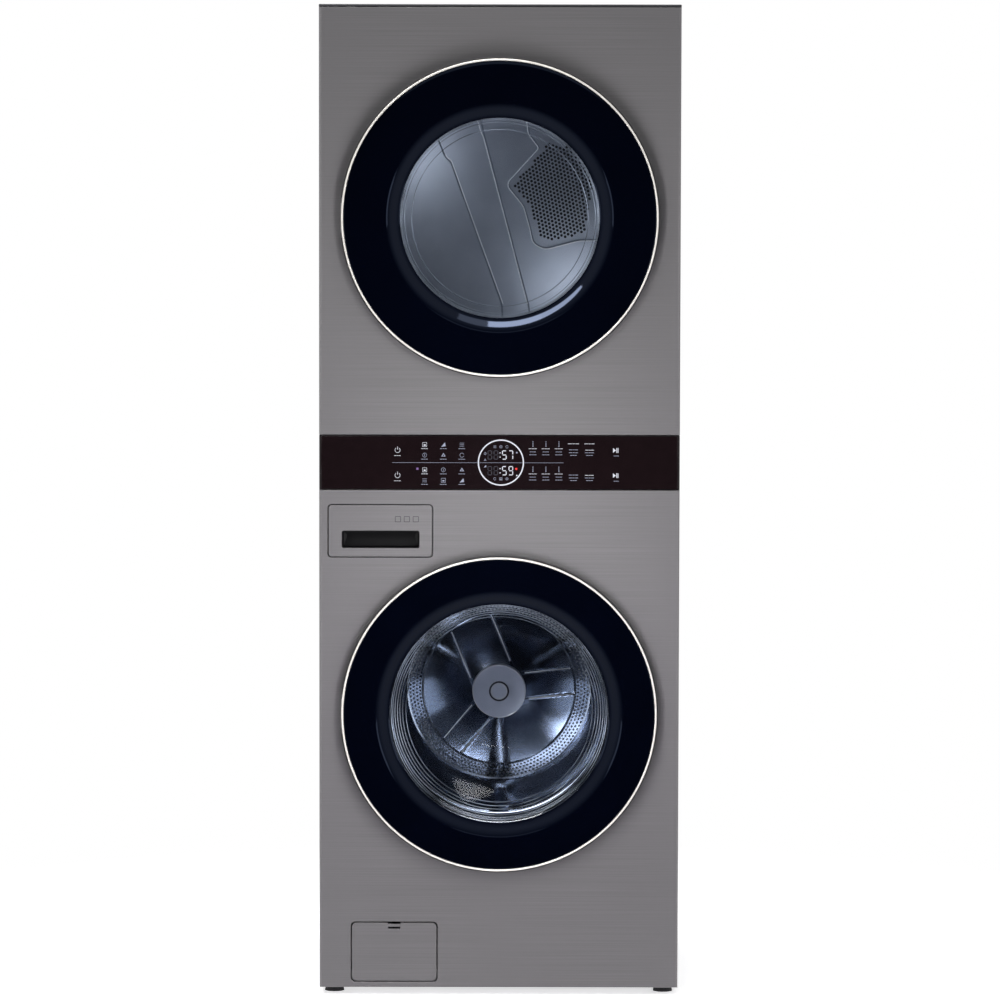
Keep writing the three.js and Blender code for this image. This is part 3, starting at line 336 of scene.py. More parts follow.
steel = finish("brushed_graphite_steel", (0.245, 0.238, 0.243), metal=0.55, rough=0.36,
               tone=0.10, scale=(3, 3, 900), bump=0.05, spread=0.05, anisotropic=0.5)
PANEL_ROLL = (0.006, 0.0022, 0.006)
PANEL_RIM = 0.026
THROAT_LIP = 0.003
DOOR_X, WASHER_Z = 0.0, (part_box("washer_door_trim")[0].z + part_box("washer_door_trim")[1].z) / 2
DRYER_Z = (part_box("dryer_door_trim")[0].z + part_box("dryer_door_trim")[1].z) / 2
WASHER_THROAT = 0.232
DRYER_THROAT = 0.2166
CUT_GAP = 0.0022
CUT_LIP = 0.0004
LOCK_SLOT = (0.252, 0.277, 0.012)
drawer_low, drawer_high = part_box("drawer_front")
service_low, service_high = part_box("service_door")
washer_low, washer_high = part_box("washer_front_panel")
dryer_low, dryer_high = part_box("dryer_front_panel")
washer_holes = [
    (circle(DOOR_X, WASHER_Z, WASHER_THROAT), THROAT_LIP, 0.004),
    (rounded_box(LOCK_SLOT[0], LOCK_SLOT[1], WASHER_Z - LOCK_SLOT[2], WASHER_Z + LOCK_SLOT[2], 0.003),
     0.001, 0.006),
    (rounded_box(drawer_low.x - CUT_GAP, drawer_high.x + CUT_GAP, drawer_low.z - CUT_GAP,
                 drawer_high.z + CUT_GAP, 0.008), CUT_LIP, 0.006),
    (rounded_box(service_low.x - CUT_GAP, service_high.x + CUT_GAP, service_low.z - CUT_GAP,
                 service_high.z + CUT_GAP, 0.009), 0.001, 0.006),
]
washer_front = piece("washer_front_sheet", pressed_sheet(
    rounded_box(washer_low.x, washer_high.x, washer_low.z, washer_high.z, 0),
    PANEL_ROLL, PANEL_RIM, holes=washer_holes, face_y=FACE_Y), steel, "cabinet")
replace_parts(flat_normals(washer_front), "washer_front_panel")
dryer_front = piece("dryer_front_sheet", pressed_sheet(
    rounded_box(dryer_low.x, dryer_high.x, dryer_low.z, dryer_high.z, 0),
    PANEL_ROLL, PANEL_RIM, holes=[(circle(DOOR_X, DRYER_Z, DRYER_THROAT), THROAT_LIP, 0.004)],
    face_y=FACE_Y), steel, "cabinet")
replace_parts(flat_normals(dryer_front), "dryer_front_panel")


# ---------- Side panels, rear panel and top cover ----------
# The sides are single painted sheets with a shallow pressed field that stiffens them. The rear
# is galvanised sheet with pressed ribs, and the top is a painted lid that laps over all four.
SIDE_FIELD_INSET = 0.055
SIDE_FIELD_DEPTH = 0.0022
SIDE_FIELD_RAMP = 0.006
SIDE_FIELD_CORNER = 0.03
SIDE_FIELD_ENDS = 0.07
SIDE_SEAM = (0.93, 1.09)
side_paint = finish("graphite_paint", (0.105, 0.105, 0.11), metal=0.35, rough=0.42, tone=0.04,
                    scale=(420, 420, 420), bump=0.12, spread=0.05)
for node, side in (("side_panel_left", -1), ("side_panel_right", 1)):
    low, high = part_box(node)
    turn = Matrix.Rotation(side * math.pi / 2, 4, "Z")
    outer = high.x if side > 0 else low.x
    middle = (low.y + high.y) / 2
    place = Matrix.Translation((outer, middle, 0)) @ turn
    half = (high.y - low.y) / 2
    side_sheet = piece(node + "_sheet", pressed_sheet(
        rounded_box(-half, half, low.z, high.z, 0), (0.001, 0.001, 0.001), high.x - low.x,
        steps=[
            (rounded_box(-half + SIDE_FIELD_INSET, half - SIDE_FIELD_INSET, bottom, top, SIDE_FIELD_CORNER),
             SIDE_FIELD_RAMP, SIDE_FIELD_DEPTH)
            for bottom, top in ((low.z + SIDE_FIELD_ENDS, SIDE_SEAM[0]),
                                (SIDE_SEAM[1], high.z - SIDE_FIELD_ENDS))
        ], place=place), side_paint, "cabinet")
    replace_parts(flat_normals(side_sheet), node)

galvanised = finish("galvanised_sheet", (0.40, 0.41, 0.42), metal=0.85, rough=0.44, tone=0.16,
                    scale=(38, 38, 38), bump=0.05, spread=0.12)
RIB_WIDTH = 0.018
RIB_REACH = 0.27
RIB_HEIGHTS = (0.12, 0.24, 0.36, 0.48, 0.60, 0.72, 0.84, 1.36, 1.48, 1.60, 1.72)
low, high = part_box("rear_panel")
duct_low, duct_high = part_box("exhaust_duct")
duct_x, duct_z = (duct_low.x + duct_high.x) / 2, (duct_low.z + duct_high.z) / 2
valve_low, valve_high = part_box("inlet_valve")
valve_z = (valve_low.z + valve_high.z) / 2
VALVE_X = (-0.265, -0.215)
rear_holes = [(circle(-duct_x, duct_z, 0.053, 64), 0.0008, 0.0012)]
rear_holes += [(circle(-x, valve_z, 0.015, 32), 0.0006, 0.0012) for x in VALVE_X]
rear_steps = []
for z in RIB_HEIGHTS:
    rear_steps.append((rounded_box(-RIB_REACH, RIB_REACH, z, z + RIB_WIDTH, 0.0089), 0.004, 0.0028))
rear_sheet = piece("rear_sheet", pressed_sheet(
    rounded_box(low.x, high.x, low.z, high.z, 0), (0.0008, 0.0008, 0.0008), 0.0012,
    holes=rear_holes, steps=rear_steps,
    place=Matrix.Translation((0, high.y, 0)) @ Matrix.Rotation(math.pi, 4, "Z")), galvanised,
    "cabinet")
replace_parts(flat_normals(rear_sheet), "rear_panel")

def hex_screws(shape, spots, y, radius=0.0042):
    """Washer-faced hex screws on the rear panel, each with a low head on a round flange."""
    for x, z in spots:
        for r, steps, near, far in ((radius * 1.5, 20, 0.0, 0.0009), (radius, 6, 0.0009, 0.0036)):
            first = ring(shape, circle(x, z, r, steps), y + near, Matrix())
            second = ring(shape, circle(x, z, r, steps), y + far - 0.0003, Matrix())
            third = ring(shape, circle(x, z, r * 0.9, steps), y + far, Matrix())
            band(shape, first, second)
            band(shape, second, third)
            shape.faces.new(third)
            shape.faces.new(first)


screw_zinc = finish("screw_zinc", (0.55, 0.54, 0.50), metal=1.0, rough=0.32, tone=0.08, scale=(200, 200, 200))
low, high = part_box("rear_panel")
screws = bmesh.new()
edge_spots = [(side * 0.333, 0.06 + 0.2 * i) for side in (-1, 1) for i in range(10)]
edge_spots += [(x, high.z - 0.012) for x in (-0.22, 0.0, 0.22)]
edge_spots += [(x, low.z + 0.012) for x in (-0.22, 0.0, 0.22)]
hex_screws(screws, edge_spots, high.y - 0.0001)
bmesh.ops.recalc_face_normals(screws, faces=screws.faces[:])
piece("rear_panel_screws", screws, screw_zinc, "cabinet")
threads = bmesh.new()
for x in VALVE_X:
    for i in range(6):
        y = valve_high.y - 0.0024 - 0.0026 * i
        rings = [ring(threads, circle(x, valve_z, r, 40), y + dy, Matrix())
                 for r, dy in ((0.0126, -0.0012), (0.0138, -0.0003), (0.0138, 0.0003), (0.0126, 0.0012))]
        for first, second in zip(rings, rings[1:] + rings[:1]):
            band(threads, first, second)
bmesh.ops.recalc_face_normals(threads, faces=threads.faces[:])
thread_white = finish("inlet_thread", (0.62, 0.63, 0.64), rough=0.45, tone=0.04,
                      scale=(300, 300, 300), bump=0.1)
piece("inlet_threads", threads, thread_white, "cabinet")

low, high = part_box("top_cover")
top_paint = finish("top_paint", (0.055, 0.055, 0.06), metal=0.2, rough=0.45, tone=0.05,
                   scale=(420, 420, 420), bump=0.12)
top_place = Matrix.Translation((0, 0, high.z)) @ Matrix.Rotation(-math.pi / 2, 4, "X")
top_lid = piece("top_lid", pressed_sheet(
    rounded_box(low.x, high.x, low.y, high.y, 0.004), (0.0015, 0.0015, 0.0015), high.z - low.z,
    steps=[(rounded_box(low.x + 0.05, high.x - 0.05, low.y + 0.05, high.y - 0.05, 0.03), 0.006, 0.0016)],
    place=top_place), top_paint, "cabinet")
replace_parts(flat_normals(top_lid), "top_cover")


# ---------- Control panel ----------
# The band between the machines is one moulding under black glass-like acrylic, wrapped round both
# corners. Its marks light up from behind: a round display between two rows of touch fields.
low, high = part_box("control_panel")
gloss_black = finish("black_acrylic", (0.006, 0.0032, 0.0038), rough=0.12, tone=0.1, scale=(60, 60, 60),
                     spread=0.02, specular_ior_level=0.4)
control_face = piece("control_fascia", pressed_sheet(
    rounded_box(low.x, high.x, low.z, high.z, 0), (0.006, 0.0012, 0.006), PANEL_RIM,
    wall=0.003, face_y=FACE_Y), gloss_black, "cabinet")
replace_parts(flat_normals(control_face), "control_panel")


def lit(name, colour, strength):
    """A printed mark lit from behind, a little uneven as diffused lamps are."""
    made = finish(name, [c * 0.15 for c in colour], rough=0.4, tone=0.04, scale=(300, 300, 300))
    shader = made.node_tree.nodes["Principled BSDF"]
    shader.inputs["Emission Color"].default_value = (*colour, 1)
    shader.inputs["Emission Strength"].default_value = strength
    return made


white_light = lit("white_marks", (0.88, 0.91, 1.0), 0.62)
dim_light = lit("dim_marks", (0.34, 0.37, 0.48), 0.85)
red_light = lit("red_mark", (0.9, 0.04, 0.03), 0.8)
# Painted light: the unlit figure segments glow faintly, though no lamp lights them.
unlit_segment_glow = lit("unlit_segments_painted_glow", (0.10, 0.10, 0.13), 0.12)
violet_light = lit("violet_mark", (0.35, 0.2, 0.55), 0.4)
MARK_RAISE = 0.00012
MARK_DEPTH = 0.0003


def mark(shape, loop, hole=None):
    """A thin printed figure on the fascia, with an opening where it has one."""
    front, back = FACE_Y - MARK_RAISE, FACE_Y + MARK_DEPTH
    rings = [(ring(shape, loop, front, Matrix()), ring(shape, loop, back, Matrix()))]
    if hole:
        rings.append((ring(shape, hole, front, Matrix()), ring(shape, hole, back, Matrix())))
    fill(shape, *[r[0] for r in rings])
    fill(shape, *[r[1] for r in rings])
    for first, second in rings:
        band(shape, first, second)


def arc(x, z, radius, width, start, end, steps=20):
    """An arc of that width, from one angle to another in degrees, as a closed loop."""
    turns = [math.radians(start + (end - start) * i / steps) for i in range(steps + 1)]
    outer = [(x + radius * math.cos(a), z + radius * math.sin(a)) for a in turns]
    inner = [(x + (radius - width) * math.cos(a), z + (radius - width) * math.sin(a)) for a in turns]
    return outer + inner[::-1]


def box_loop(x, z, half_width, half_height):
    return rounded_box(x - half_width, x + half_width, z - half_height, z + half_height, 0)


def marks(name, surface, draw):
    """All marks of one brightness as one piece."""
    shape = bmesh.new()
    draw(shape)
    bmesh.ops.recalc_face_normals(shape, faces=shape.faces[:])
    return piece(name, shape, surface, "cabinet")


DISPLAY_X = 0.0027
band_z = (low.z + high.z) / 2
ROWS = {"dryer": band_z + 0.0235, "washer": band_z - 0.0245}
ICON_COLUMNS = (-0.1423, -0.1066, -0.0714)
OPTION_COLUMNS = (0.0636, 0.0883, 0.1130)
WORD_COLUMNS = (0.1410, 0.1714)
POWER_X, START_X = -0.1938, 0.2204
ICON_SIZE = 0.0042


def word(shape, x, z, width=0.013, height=0.0009):
    """A word's place, as a short row of blocks that say nothing."""
    for i, share in enumerate((0.34, 0.22, 0.30)):
        start = x - width / 2 + width * (0, 0.39, 0.66)[i]
        mark(shape, rounded_box(start, start + width * share, z - height / 2, z + height / 2, 0))


def icon(shape, kind, x, z, s):
    """A small generic figure: a framed square, a leaf, a cross, a drop, bars or a dotted ring."""
    w = 0.0006
    if kind == 0:
        mark(shape, box_loop(x, z, s, s), box_loop(x, z, s - w, s - w))
        mark(shape, box_loop(x, z - s * 0.2, s * 0.45, s * 0.3))
    elif kind == 1:
        mark(shape, arc(x, z, s, w, 20, 200))
        mark(shape, arc(x, z, s, w, 215, 340))
    elif kind == 2:
        mark(shape, [(x - s, z - s), (x + s, z - s * 0.7), (x + s * 0.7, z + s), (x, z + s * 0.2)])
    elif kind == 3:
        mark(shape, circle(x, z, s, 24), circle(x, z, s - w, 24))
        mark(shape, box_loop(x, z, w / 2, s * 0.5))
    elif kind == 4:
        for i in (-1, 0, 1):
            mark(shape, box_loop(x, z + i * s * 0.7, s, w / 2))
    else:
        mark(shape, [(x - s, z - s * 0.6), (x + s, z - s * 0.6), (x, z + s)],
             [(x - s * 0.5, z - s * 0.35), (x + s * 0.5, z - s * 0.35), (x, z + s * 0.45)])


SEGMENTS = {"0": "abcdef", "5": "afgcd", "7": "abc", "9": "abfgcd", "8": "abcdefg"}


def digit(shape, x, z, figure, height=0.0176, width=0.0088, bar=0.0017):
    """One figure of seven bars, for the time left."""
    h, w, b, gap = height / 2, width / 2, bar / 2, 0.0005
    places = {
        "a": box_loop(x, z + h - b, w - bar - gap + b, b), "g": box_loop(x, z, w - bar - gap + b, b),
        "d": box_loop(x, z - h + b, w - bar - gap + b, b),
        "f": box_loop(x - w + b, z + h / 2, b, h / 2 - b - gap),
        "b": box_loop(x + w - b, z + h / 2, b, h / 2 - b - gap),
        "e": box_loop(x - w + b, z - h / 2, b, h / 2 - b - gap),
        "c": box_loop(x + w - b, z - h / 2, b, h / 2 - b - gap),
    }
    for segment in SEGMENTS[figure]:
        mark(shape, places[segment])


def white_marks(shape):
    mark(shape, circle(DISPLAY_X, band_z, 0.0440, 96), circle(DISPLAY_X, band_z, 0.0416, 96))
    for z, figures in ((band_z + 0.0145, "57"), (band_z - 0.0155, "59")):
        for i, figure in enumerate(figures):
            digit(shape, DISPLAY_X + 0.0065 + i * 0.0125, z, figure)
        for dz in (-0.004, 0.004):
            mark(shape, circle(DISPLAY_X - 0.0015, z + dz, 0.0011, 12))
    for row, z in ROWS.items():
        mark(shape, arc(POWER_X, z, 0.0052, 0.0008, 125, 415))
        mark(shape, box_loop(POWER_X, z + 0.004, 0.0004, 0.003))
        word(shape, POWER_X, z - 0.0105)
        icon(shape, 0, ICON_COLUMNS[0], z + 0.0105, ICON_SIZE)
        word(shape, ICON_COLUMNS[0], z + 0.0028)
        for x in OPTION_COLUMNS:
            word(shape, x, z + 0.0030, 0.016)
        word(shape, WORD_COLUMNS[1], z + 0.0005, 0.017)
        mark(shape, [(START_X - 0.0045, z + 0.0045), (START_X - 0.0045, z - 0.0045), (START_X + 0.001, z)])
        for dx in (0.0025, 0.0050):
            mark(shape, box_loop(START_X + dx, z, 0.0007, 0.0045))
    word(shape, WORD_COLUMNS[0], ROWS["dryer"] + 0.0125, 0.022)
    word(shape, WORD_COLUMNS[1], ROWS["dryer"] + 0.0125, 0.020)
    mark(shape, circle(0.0330, band_z - 0.0245, 0.0014, 12))


def dim_marks(shape):
    for row, z in ROWS.items():
        for i, x in enumerate(ICON_COLUMNS):
            for j, dz in enumerate((0.0105, -0.0095)):
                if i or j:
                    icon(shape, (i * 2 + j * 3 + (row == "washer")) % 6, x, z + dz, ICON_SIZE)
                    word(shape, x, z + dz - 0.0077)
        for x in OPTION_COLUMNS:
            mark(shape, box_loop(x, z + 0.0035 + 0.0125, 0.0008, 0.0008))
            for k in (0.0075, 0.0100, 0.0125):
                mark(shape, circle(x, z + k, 0.0009, 10))
            word(shape, x, z - 0.0030, 0.012)
            word(shape, x, z - 0.0085, 0.014)
        for x in WORD_COLUMNS:
            word(shape, x, z - 0.0045, 0.018)
            word(shape, x, z - 0.0095, 0.013)
        word(shape, WORD_COLUMNS[0], z + 0.0010, 0.018)
        word(shape, START_X + 0.002, z - 0.0105, 0.010, 0.0009)
    mark(shape, box_loop(-0.041, band_z - 0.0003, 0.163, 0.00025))
    for i in range(3):
        icon(shape, (4, 3, 1)[i], DISPLAY_X - 0.0115 + i * 0.0115, band_z + 0.0300, 0.0026)
        icon(shape, (1, 0, 3)[i], DISPLAY_X - 0.0115 + i * 0.0115, band_z - 0.0310, 0.0026)
        icon(shape, (3, 5, 2)[i], DISPLAY_X - 0.0300, band_z + 0.0170 - i * 0.0120, 0.0024)
    mark(shape, circle(0.0330, band_z + 0.0190, 0.0016, 12))


marks("display_white", white_light, white_marks)
marks("display_dim", dim_light, dim_marks)
marks("display_unlit_figures_glow", unlit_segment_glow, lambda shape: [
    digit(shape, DISPLAY_X - 0.0095 - i * 0.0115, z, "8")
    for z in (band_z + 0.0145, band_z - 0.0155) for i in range(2)])
marks("display_red", red_light, lambda shape: mark(shape, circle(0.0320, band_z - 0.0120, 0.0022, 20)))
marks("display_violet", violet_light,
      lambda shape: mark(shape, box_loop(-0.1560, band_z - 0.0120, 0.002, 0.002)))


# ---------- Doors ----------
# Each door is a black moulded ring that carries a bright metal trim, an outer pane of black-printed
# glass with a clear window, and a glass bowl that reaches into the drum's mouth.
def eased(profile, radius, closed=True, steps=4):
    """The profile with its corners rounded, by less where its sides are short."""
    out = []
    count = len(profile)
    for i, point in enumerate(profile):
        here = Vector(point)
        if (not closed and i in (0, count - 1)) or here.x == 0:
            out.append(tuple(here))
            continue
        before = Vector(profile[i - 1]) - here
        after = Vector(profile[(i + 1) % count]) - here
        reach = min(radius, before.length * 0.45, after.length * 0.45)
        a, b = here + before.normalized() * reach, here + after.normalized() * reach
        for j in range(steps + 1):
            t = j / steps
            out.append(tuple((1 - t) ** 2 * a + 2 * t * (1 - t) * here + t * t * b))
    return out


def turned(profile, x, z, steps=160):
    """A closed profile of (radius, y) points turned round the axis that runs front to back at (x, z)."""
    shape = bmesh.new()
    rings = []
    for r, y in profile:
        if r <= 1e-6:
            rings.append([shape.verts.new((x, y, z))])
        else:
            rings.append(ring(shape, circle(x, z, r, steps), y, Matrix()))
    for first, second in zip(rings, rings[1:] + rings[:1]):
        if len(first) == len(second) == 1:
            continue
        if len(first) > 1 and len(second) > 1:
            band(shape, first, second)
            continue
        tip, base = (first, second) if len(first) == 1 else (second, first)
        for i in range(steps):
            shape.faces.new((tip[0], base[i], base[(i + 1) % steps]))
    bmesh.ops.recalc_face_normals(shape, faces=shape.faces[:])
    return shape


def bead(shape, line, radius, closed, steps=10):
    """A round bead along a line of (x, y, z) points."""
    points = [Vector(p) for p in line]
    rings = []
    for i, here in enumerate(points):
        before = points[i - 1] if i or closed else here
        after = points[(i + 1) % len(points)] if i + 1 < len(points) or closed else here
        ahead = (after - before).normalized()
        side = ahead.cross(Vector((0, 1, 0))).normalized()
        up = side.cross(ahead)
        rings.append([shape.verts.new(here + radius * (side * math.cos(2 * math.pi * k / steps)
                                                       + up * math.sin(2 * math.pi * k / steps)))
                      for k in range(steps)])
    for first, second in zip(rings, rings[1:] + (rings[:1] if closed else [])):
        band(shape, first, second)
    if not closed:
        shape.faces.new(rings[0][::-1])
        shape.faces.new(rings[-1])


def cut_by(item, *tools):
    """Cuts the tools' solids out of the piece's mesh."""
    for tool in tools:
        scratch = bpy.data.meshes.new("tool")
        tool.to_mesh(scratch)
        tool.free()
        cutter = bpy.data.objects.new("tool", scratch)
        bpy.context.scene.collection.objects.link(cutter)
        knife = item.modifiers.new("cut", "BOOLEAN")
        knife.operation, knife.solver, knife.object = "DIFFERENCE", "EXACT", cutter
        bpy.context.view_layer.update()
        result = bpy.data.meshes.new_from_object(item.evaluated_get(bpy.context.evaluated_depsgraph_get()))
        item.modifiers.remove(knife)
        item.data = result
        bpy.data.objects.remove(cutter)
    item.data.set_sharp_from_angle(angle=math.radians(35))
    return item


def upright_bar(x, y, z0, z1, radius, steps=48, shape=None):
    """A round bar that stands along Z."""
    shape = shape or bmesh.new()
    loop = circle(x, y, radius, steps)
    low_ring = [shape.verts.new((px, py, z0)) for px, py in loop]
    high_ring = [shape.verts.new((px, py, z1)) for px, py in loop]
    band(shape, low_ring, high_ring)
    shape.faces.new(low_ring)
    shape.faces.new(high_ring)
    return shape


def block(x0, x1, y0, y1, z0, z1, shape=None, ease=0.0):
    """A box between two corners, with its edges rounded if it says so."""
    fresh = bmesh.new()
    bmesh.ops.create_cube(fresh, size=1)
    for v in fresh.verts:
        v.co = Vector(((x0 + x1) / 2 + v.co.x * (x1 - x0), (y0 + y1) / 2 + v.co.y * (y1 - y0),
                       (z0 + z1) / 2 + v.co.z * (z1 - z0)))
    if ease:
        bmesh.ops.bevel(fresh, geom=fresh.edges[:], offset=ease, segments=3, profile=0.5, affect="EDGES")
    if shape is None:
        return fresh
    spare = bpy.data.meshes.new("part")
    fresh.to_mesh(spare)
    fresh.free()
    shape.from_mesh(spare)
    bpy.data.meshes.remove(spare)
    return shape


door_black = finish("door_moulding", (0.010, 0.010, 0.012), rough=0.33, tone=0.06, scale=(500, 500, 500),
                    bump=0.08, spread=0.05)
bright_trim = finish("polished_trim", (1.0, 0.95, 0.88), metal=0.45, rough=0.22, tone=0.03,
                     scale=(200, 200, 200), spread=0.03)
printed_glass = finish("black_printed_glass", (0.0003, 0.0006, 0.0024), rough=0.06, tone=0.1,
                       scale=(10, 10, 10), spread=0.02, specular_ior_level=0.27,
                       specular_tint=(0.50, 0.64, 1.0, 1))
dark_zinc = finish("zinc_plate", (0.46, 0.47, 0.48), metal=1.0, rough=0.35, tone=0.1, scale=(90, 90, 90),
                   bump=0.04)


def clear_glass(name, tint, mirror, rough):
    """Thin clear glass: it lets light through with a tint, and mirrors more at a slant."""
    made = bpy.data.materials.new(name)
    made.use_nodes = True
    tree = made.node_tree
    tree.nodes.remove(tree.nodes["Principled BSDF"])
    through = tree.nodes.new("ShaderNodeBsdfTransparent")
    gloss = tree.nodes.new("ShaderNodeBsdfGlossy")
    gloss.inputs["Roughness"].default_value = rough
    place = tree.nodes.new("ShaderNodeTexCoord")
    ripple = tree.nodes.new("ShaderNodeTexNoise")
    ripple.inputs["Scale"].default_value = 9
    shade = tree.nodes.new("ShaderNodeValToRGB")
    shade.color_ramp.elements[0].color = (*[c * 0.97 for c in tint], 1)
    shade.color_ramp.elements[1].color = (*tint, 1)
    slant = tree.nodes.new("ShaderNodeLayerWeight")
    slant.inputs["Blend"].default_value = mirror
    mix = tree.nodes.new("ShaderNodeMixShader")
    tree.links.new(place.outputs["Object"], ripple.inputs["Vector"])
    tree.links.new(ripple.outputs["Fac"], shade.inputs["Fac"])
    tree.links.new(shade.outputs["Color"], through.inputs["Color"])
    tree.links.new(slant.outputs["Fresnel"], mix.inputs["Fac"])
    tree.links.new(through.outputs["BSDF"], mix.inputs[1])
    tree.links.new(gloss.outputs["BSDF"], mix.inputs[2])
    tree.links.new(mix.outputs["Shader"], tree.nodes["Material Output"].inputs["Surface"])
    return made


window_glass = clear_glass("window_glass", (0.94, 0.955, 0.975), 0.06, 0.01)
bowl_glass = clear_glass("bowl_glass", (0.96, 0.97, 0.985), 0.16, 0.02)
# Painted reflection: an opaque grey-blue finish, strongly varied, for the bowl's ridges.
bowl_ridge_reflection = finish("bowl_ridge_painted_reflection", (0.42, 0.46, 0.52), metal=0.6,
                     rough=0.14, tone=0.9, scale=(11, 11, 11))
HINGE_X, HINGE_Y = -0.292, FACE_Y - 0.020
KNUCKLE = 0.028
PIN = 0.004


def door(prefix, z, window, bowl, ridge_reflection_rings):
    """One door. bowl lists the inner bowl's own profile, from its rim to its middle; the last argument
    lists its pressed ridges, as radius and depth, drawn as opaque grey-blue beads: painted
    reflections of the bright and dark rings that the clear glass shows there."""
    body = prefix + "_door"
    trim_low, trim_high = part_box(prefix + "_door_trim")
    back = FACE_Y - 0.005
    out = (trim_high.z - trim_low.z) / 2
    front, seat = trim_low.y, trim_high.y

    shell = piece(prefix + "_door_ring", turned(eased([
        (window + 0.001, back), (out - 0.010, back), (out, back - 0.010), (out, seat - 0.006),
        (out - 0.0017, seat - 0.006), (out - 0.0017, seat + 0.0003), (out - 0.005, seat + 0.0003),
        (out - 0.005, back - 0.010), (out - 0.012, back - 0.004),
        (window + 0.005, back - 0.004), (window + 0.005, front + 0.0246), (window + 0.001, front + 0.0246),
    ], 0.003), 0, z), door_black, body)
    cut_by(shell, upright_bar(HINGE_X, HINGE_Y, z - KNUCKLE - 0.010, z + KNUCKLE + 0.010, 0.022))
    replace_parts(shell, prefix + "_door_frame")

    arm = upright_bar(HINGE_X, HINGE_Y, z - KNUCKLE, z + KNUCKLE, PIN + 0.005)
    block(HINGE_X, HINGE_X + 0.034, HINGE_Y - 0.003, HINGE_Y + 0.003, z - KNUCKLE, z + KNUCKLE, arm, 0.0008)
    block(HINGE_X + 0.026, HINGE_X + 0.034, HINGE_Y - 0.003, back, z - KNUCKLE, z + KNUCKLE, arm, 0.0008)
    piece(prefix + "_door_hinge_arm", arm, dark_zinc, body)
    if prefix == "washer":
        hook = block(0.257, 0.265, back - 0.002, FACE_Y + 0.022, z - 0.009, z + 0.009, None, 0.0010)
        block(0.264, 0.271, FACE_Y + 0.016, FACE_Y + 0.022, z - 0.009, z + 0.009, hook, 0.0010)
        piece("washer_door_hook", hook, dark_zinc, body)

    trim = piece(prefix + "_door_bright_ring", turned(eased([
        (out - 0.006, seat), (out - 0.002, seat), (out - 0.002, front + 0.003), (out - 0.0032, front),
        (out - 0.0052, front + 0.0002), (out - 0.006, front + 0.0018),
    ], 0.0012), 0, z, 240), bright_trim, body)
    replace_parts(trim, prefix + "_door_trim")

    inner = window - 0.003
    dish = [(inner + (0.030 * i / 10), front + 0.020 - 0.018 * math.sin(math.pi / 2 * i / 10) ** 1.5)
            for i in range(11)]
    rim = out - 0.0065
    black = piece(prefix + "_door_black_glass", turned(
        dish + eased([(rim - 0.010, front + 0.0016), (rim, front + 0.0026), (rim, front + 0.006),
                      (inner + 0.031, front + 0.006)], 0.002, False) + [(inner, front + 0.024)],
        0, z, 200), printed_glass, body)
    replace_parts(black, prefix + "_door_glass")
    pane = piece(prefix + "_door_window", turned(
        [(0, front + 0.020), (inner - 0.0003, front + 0.020), (inner - 0.0003, front + 0.024),
         (0, front + 0.024)],
        0, z), window_glass, body)
    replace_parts(pane, prefix + "_door_glass")

    # The ridges are opaque beads: painted reflections in place of the rings the clear glass shows.
    ridge_reflection_beads = bmesh.new()
    for r, y in ridge_reflection_rings:
        bead(ridge_reflection_beads, [(x, y, z2) for x, z2 in circle(0, z, r, 160)], 0.0007, True, 8)
    bmesh.ops.recalc_face_normals(ridge_reflection_beads, faces=ridge_reflection_beads.faces[:])
    piece(prefix + "_door_bowl_ridge_reflections", ridge_reflection_beads, bowl_ridge_reflection, body)
    cup = piece(prefix + "_door_inner_bowl", turned(bowl, 0, z), bowl_glass, body)
    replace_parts(cup, prefix + "_door_bowl")


def bowl_profile(window, depth, tip, wall=0.004):
    """A bowl's skin: down its slanted side, round its corner and across its flat bottom, and back."""
    rim_y = FACE_Y - 0.0047
    corner = depth / 3
    outside = eased([(window + 0.003, rim_y), (window - 0.002, rim_y + depth * 0.25),
                     (tip, rim_y + depth - corner),
                     (tip - corner, rim_y + depth), (0, rim_y + depth)], 0.016, False, 8)
    inside = [(max(0, r - wall) if r else 0, y - wall * 0.8) for r, y in reversed(outside)]
    inside[-1] = (window - 0.001, rim_y)
    return outside + inside


door("washer", WASHER_Z, 0.212, bowl_profile(0.212, 0.086, 0.178), [
    (0.2060, FACE_Y + 0.001), (0.2030, FACE_Y + 0.008), (0.1990, FACE_Y + 0.015), (0.1945, FACE_Y + 0.024),
    (0.1900, FACE_Y + 0.032), (0.1850, FACE_Y + 0.042), (0.1790, FACE_Y + 0.052)])
door("dryer", DRYER_Z, 0.192, bowl_profile(0.192, 0.048, 0.172), [
    (0.1880, FACE_Y - 0.001), (0.1860, FACE_Y + 0.004), (0.1815, FACE_Y + 0.010), (0.1680, FACE_Y + 0.028)])

for node in ("washer_hinge_bracket", "dryer_hinge_bracket"):
    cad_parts[node].data.materials.clear()
    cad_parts[node].data.materials.append(dark_zinc)
    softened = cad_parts[node].modifiers.new("eased", "BEVEL")
    softened.width, softened.segments = 0.0006, 2


# ---------- Washer drum ----------
# The drum is polished stainless steel: a perforated wall, a rear wall pressed into three
# raised arms round a hub cap, and three hollow lifters riveted to the wall.
def polar_sheet(radii, depth, x, z, steps, shape=None):
    """A disc of rings, whose depth is a function of radius and angle."""
    shape = shape or bmesh.new()
    rings = []
    for r in radii:
        loop = []
        for i in range(steps):
            a = 2 * math.pi * i / steps
            loop.append(shape.verts.new((x + r * math.cos(a), depth(r, a), z + r * math.sin(a))))
        rings.append(loop)
    for first, second in zip(rings, rings[1:]):
        band(shape, first, second)
    return shape, rings


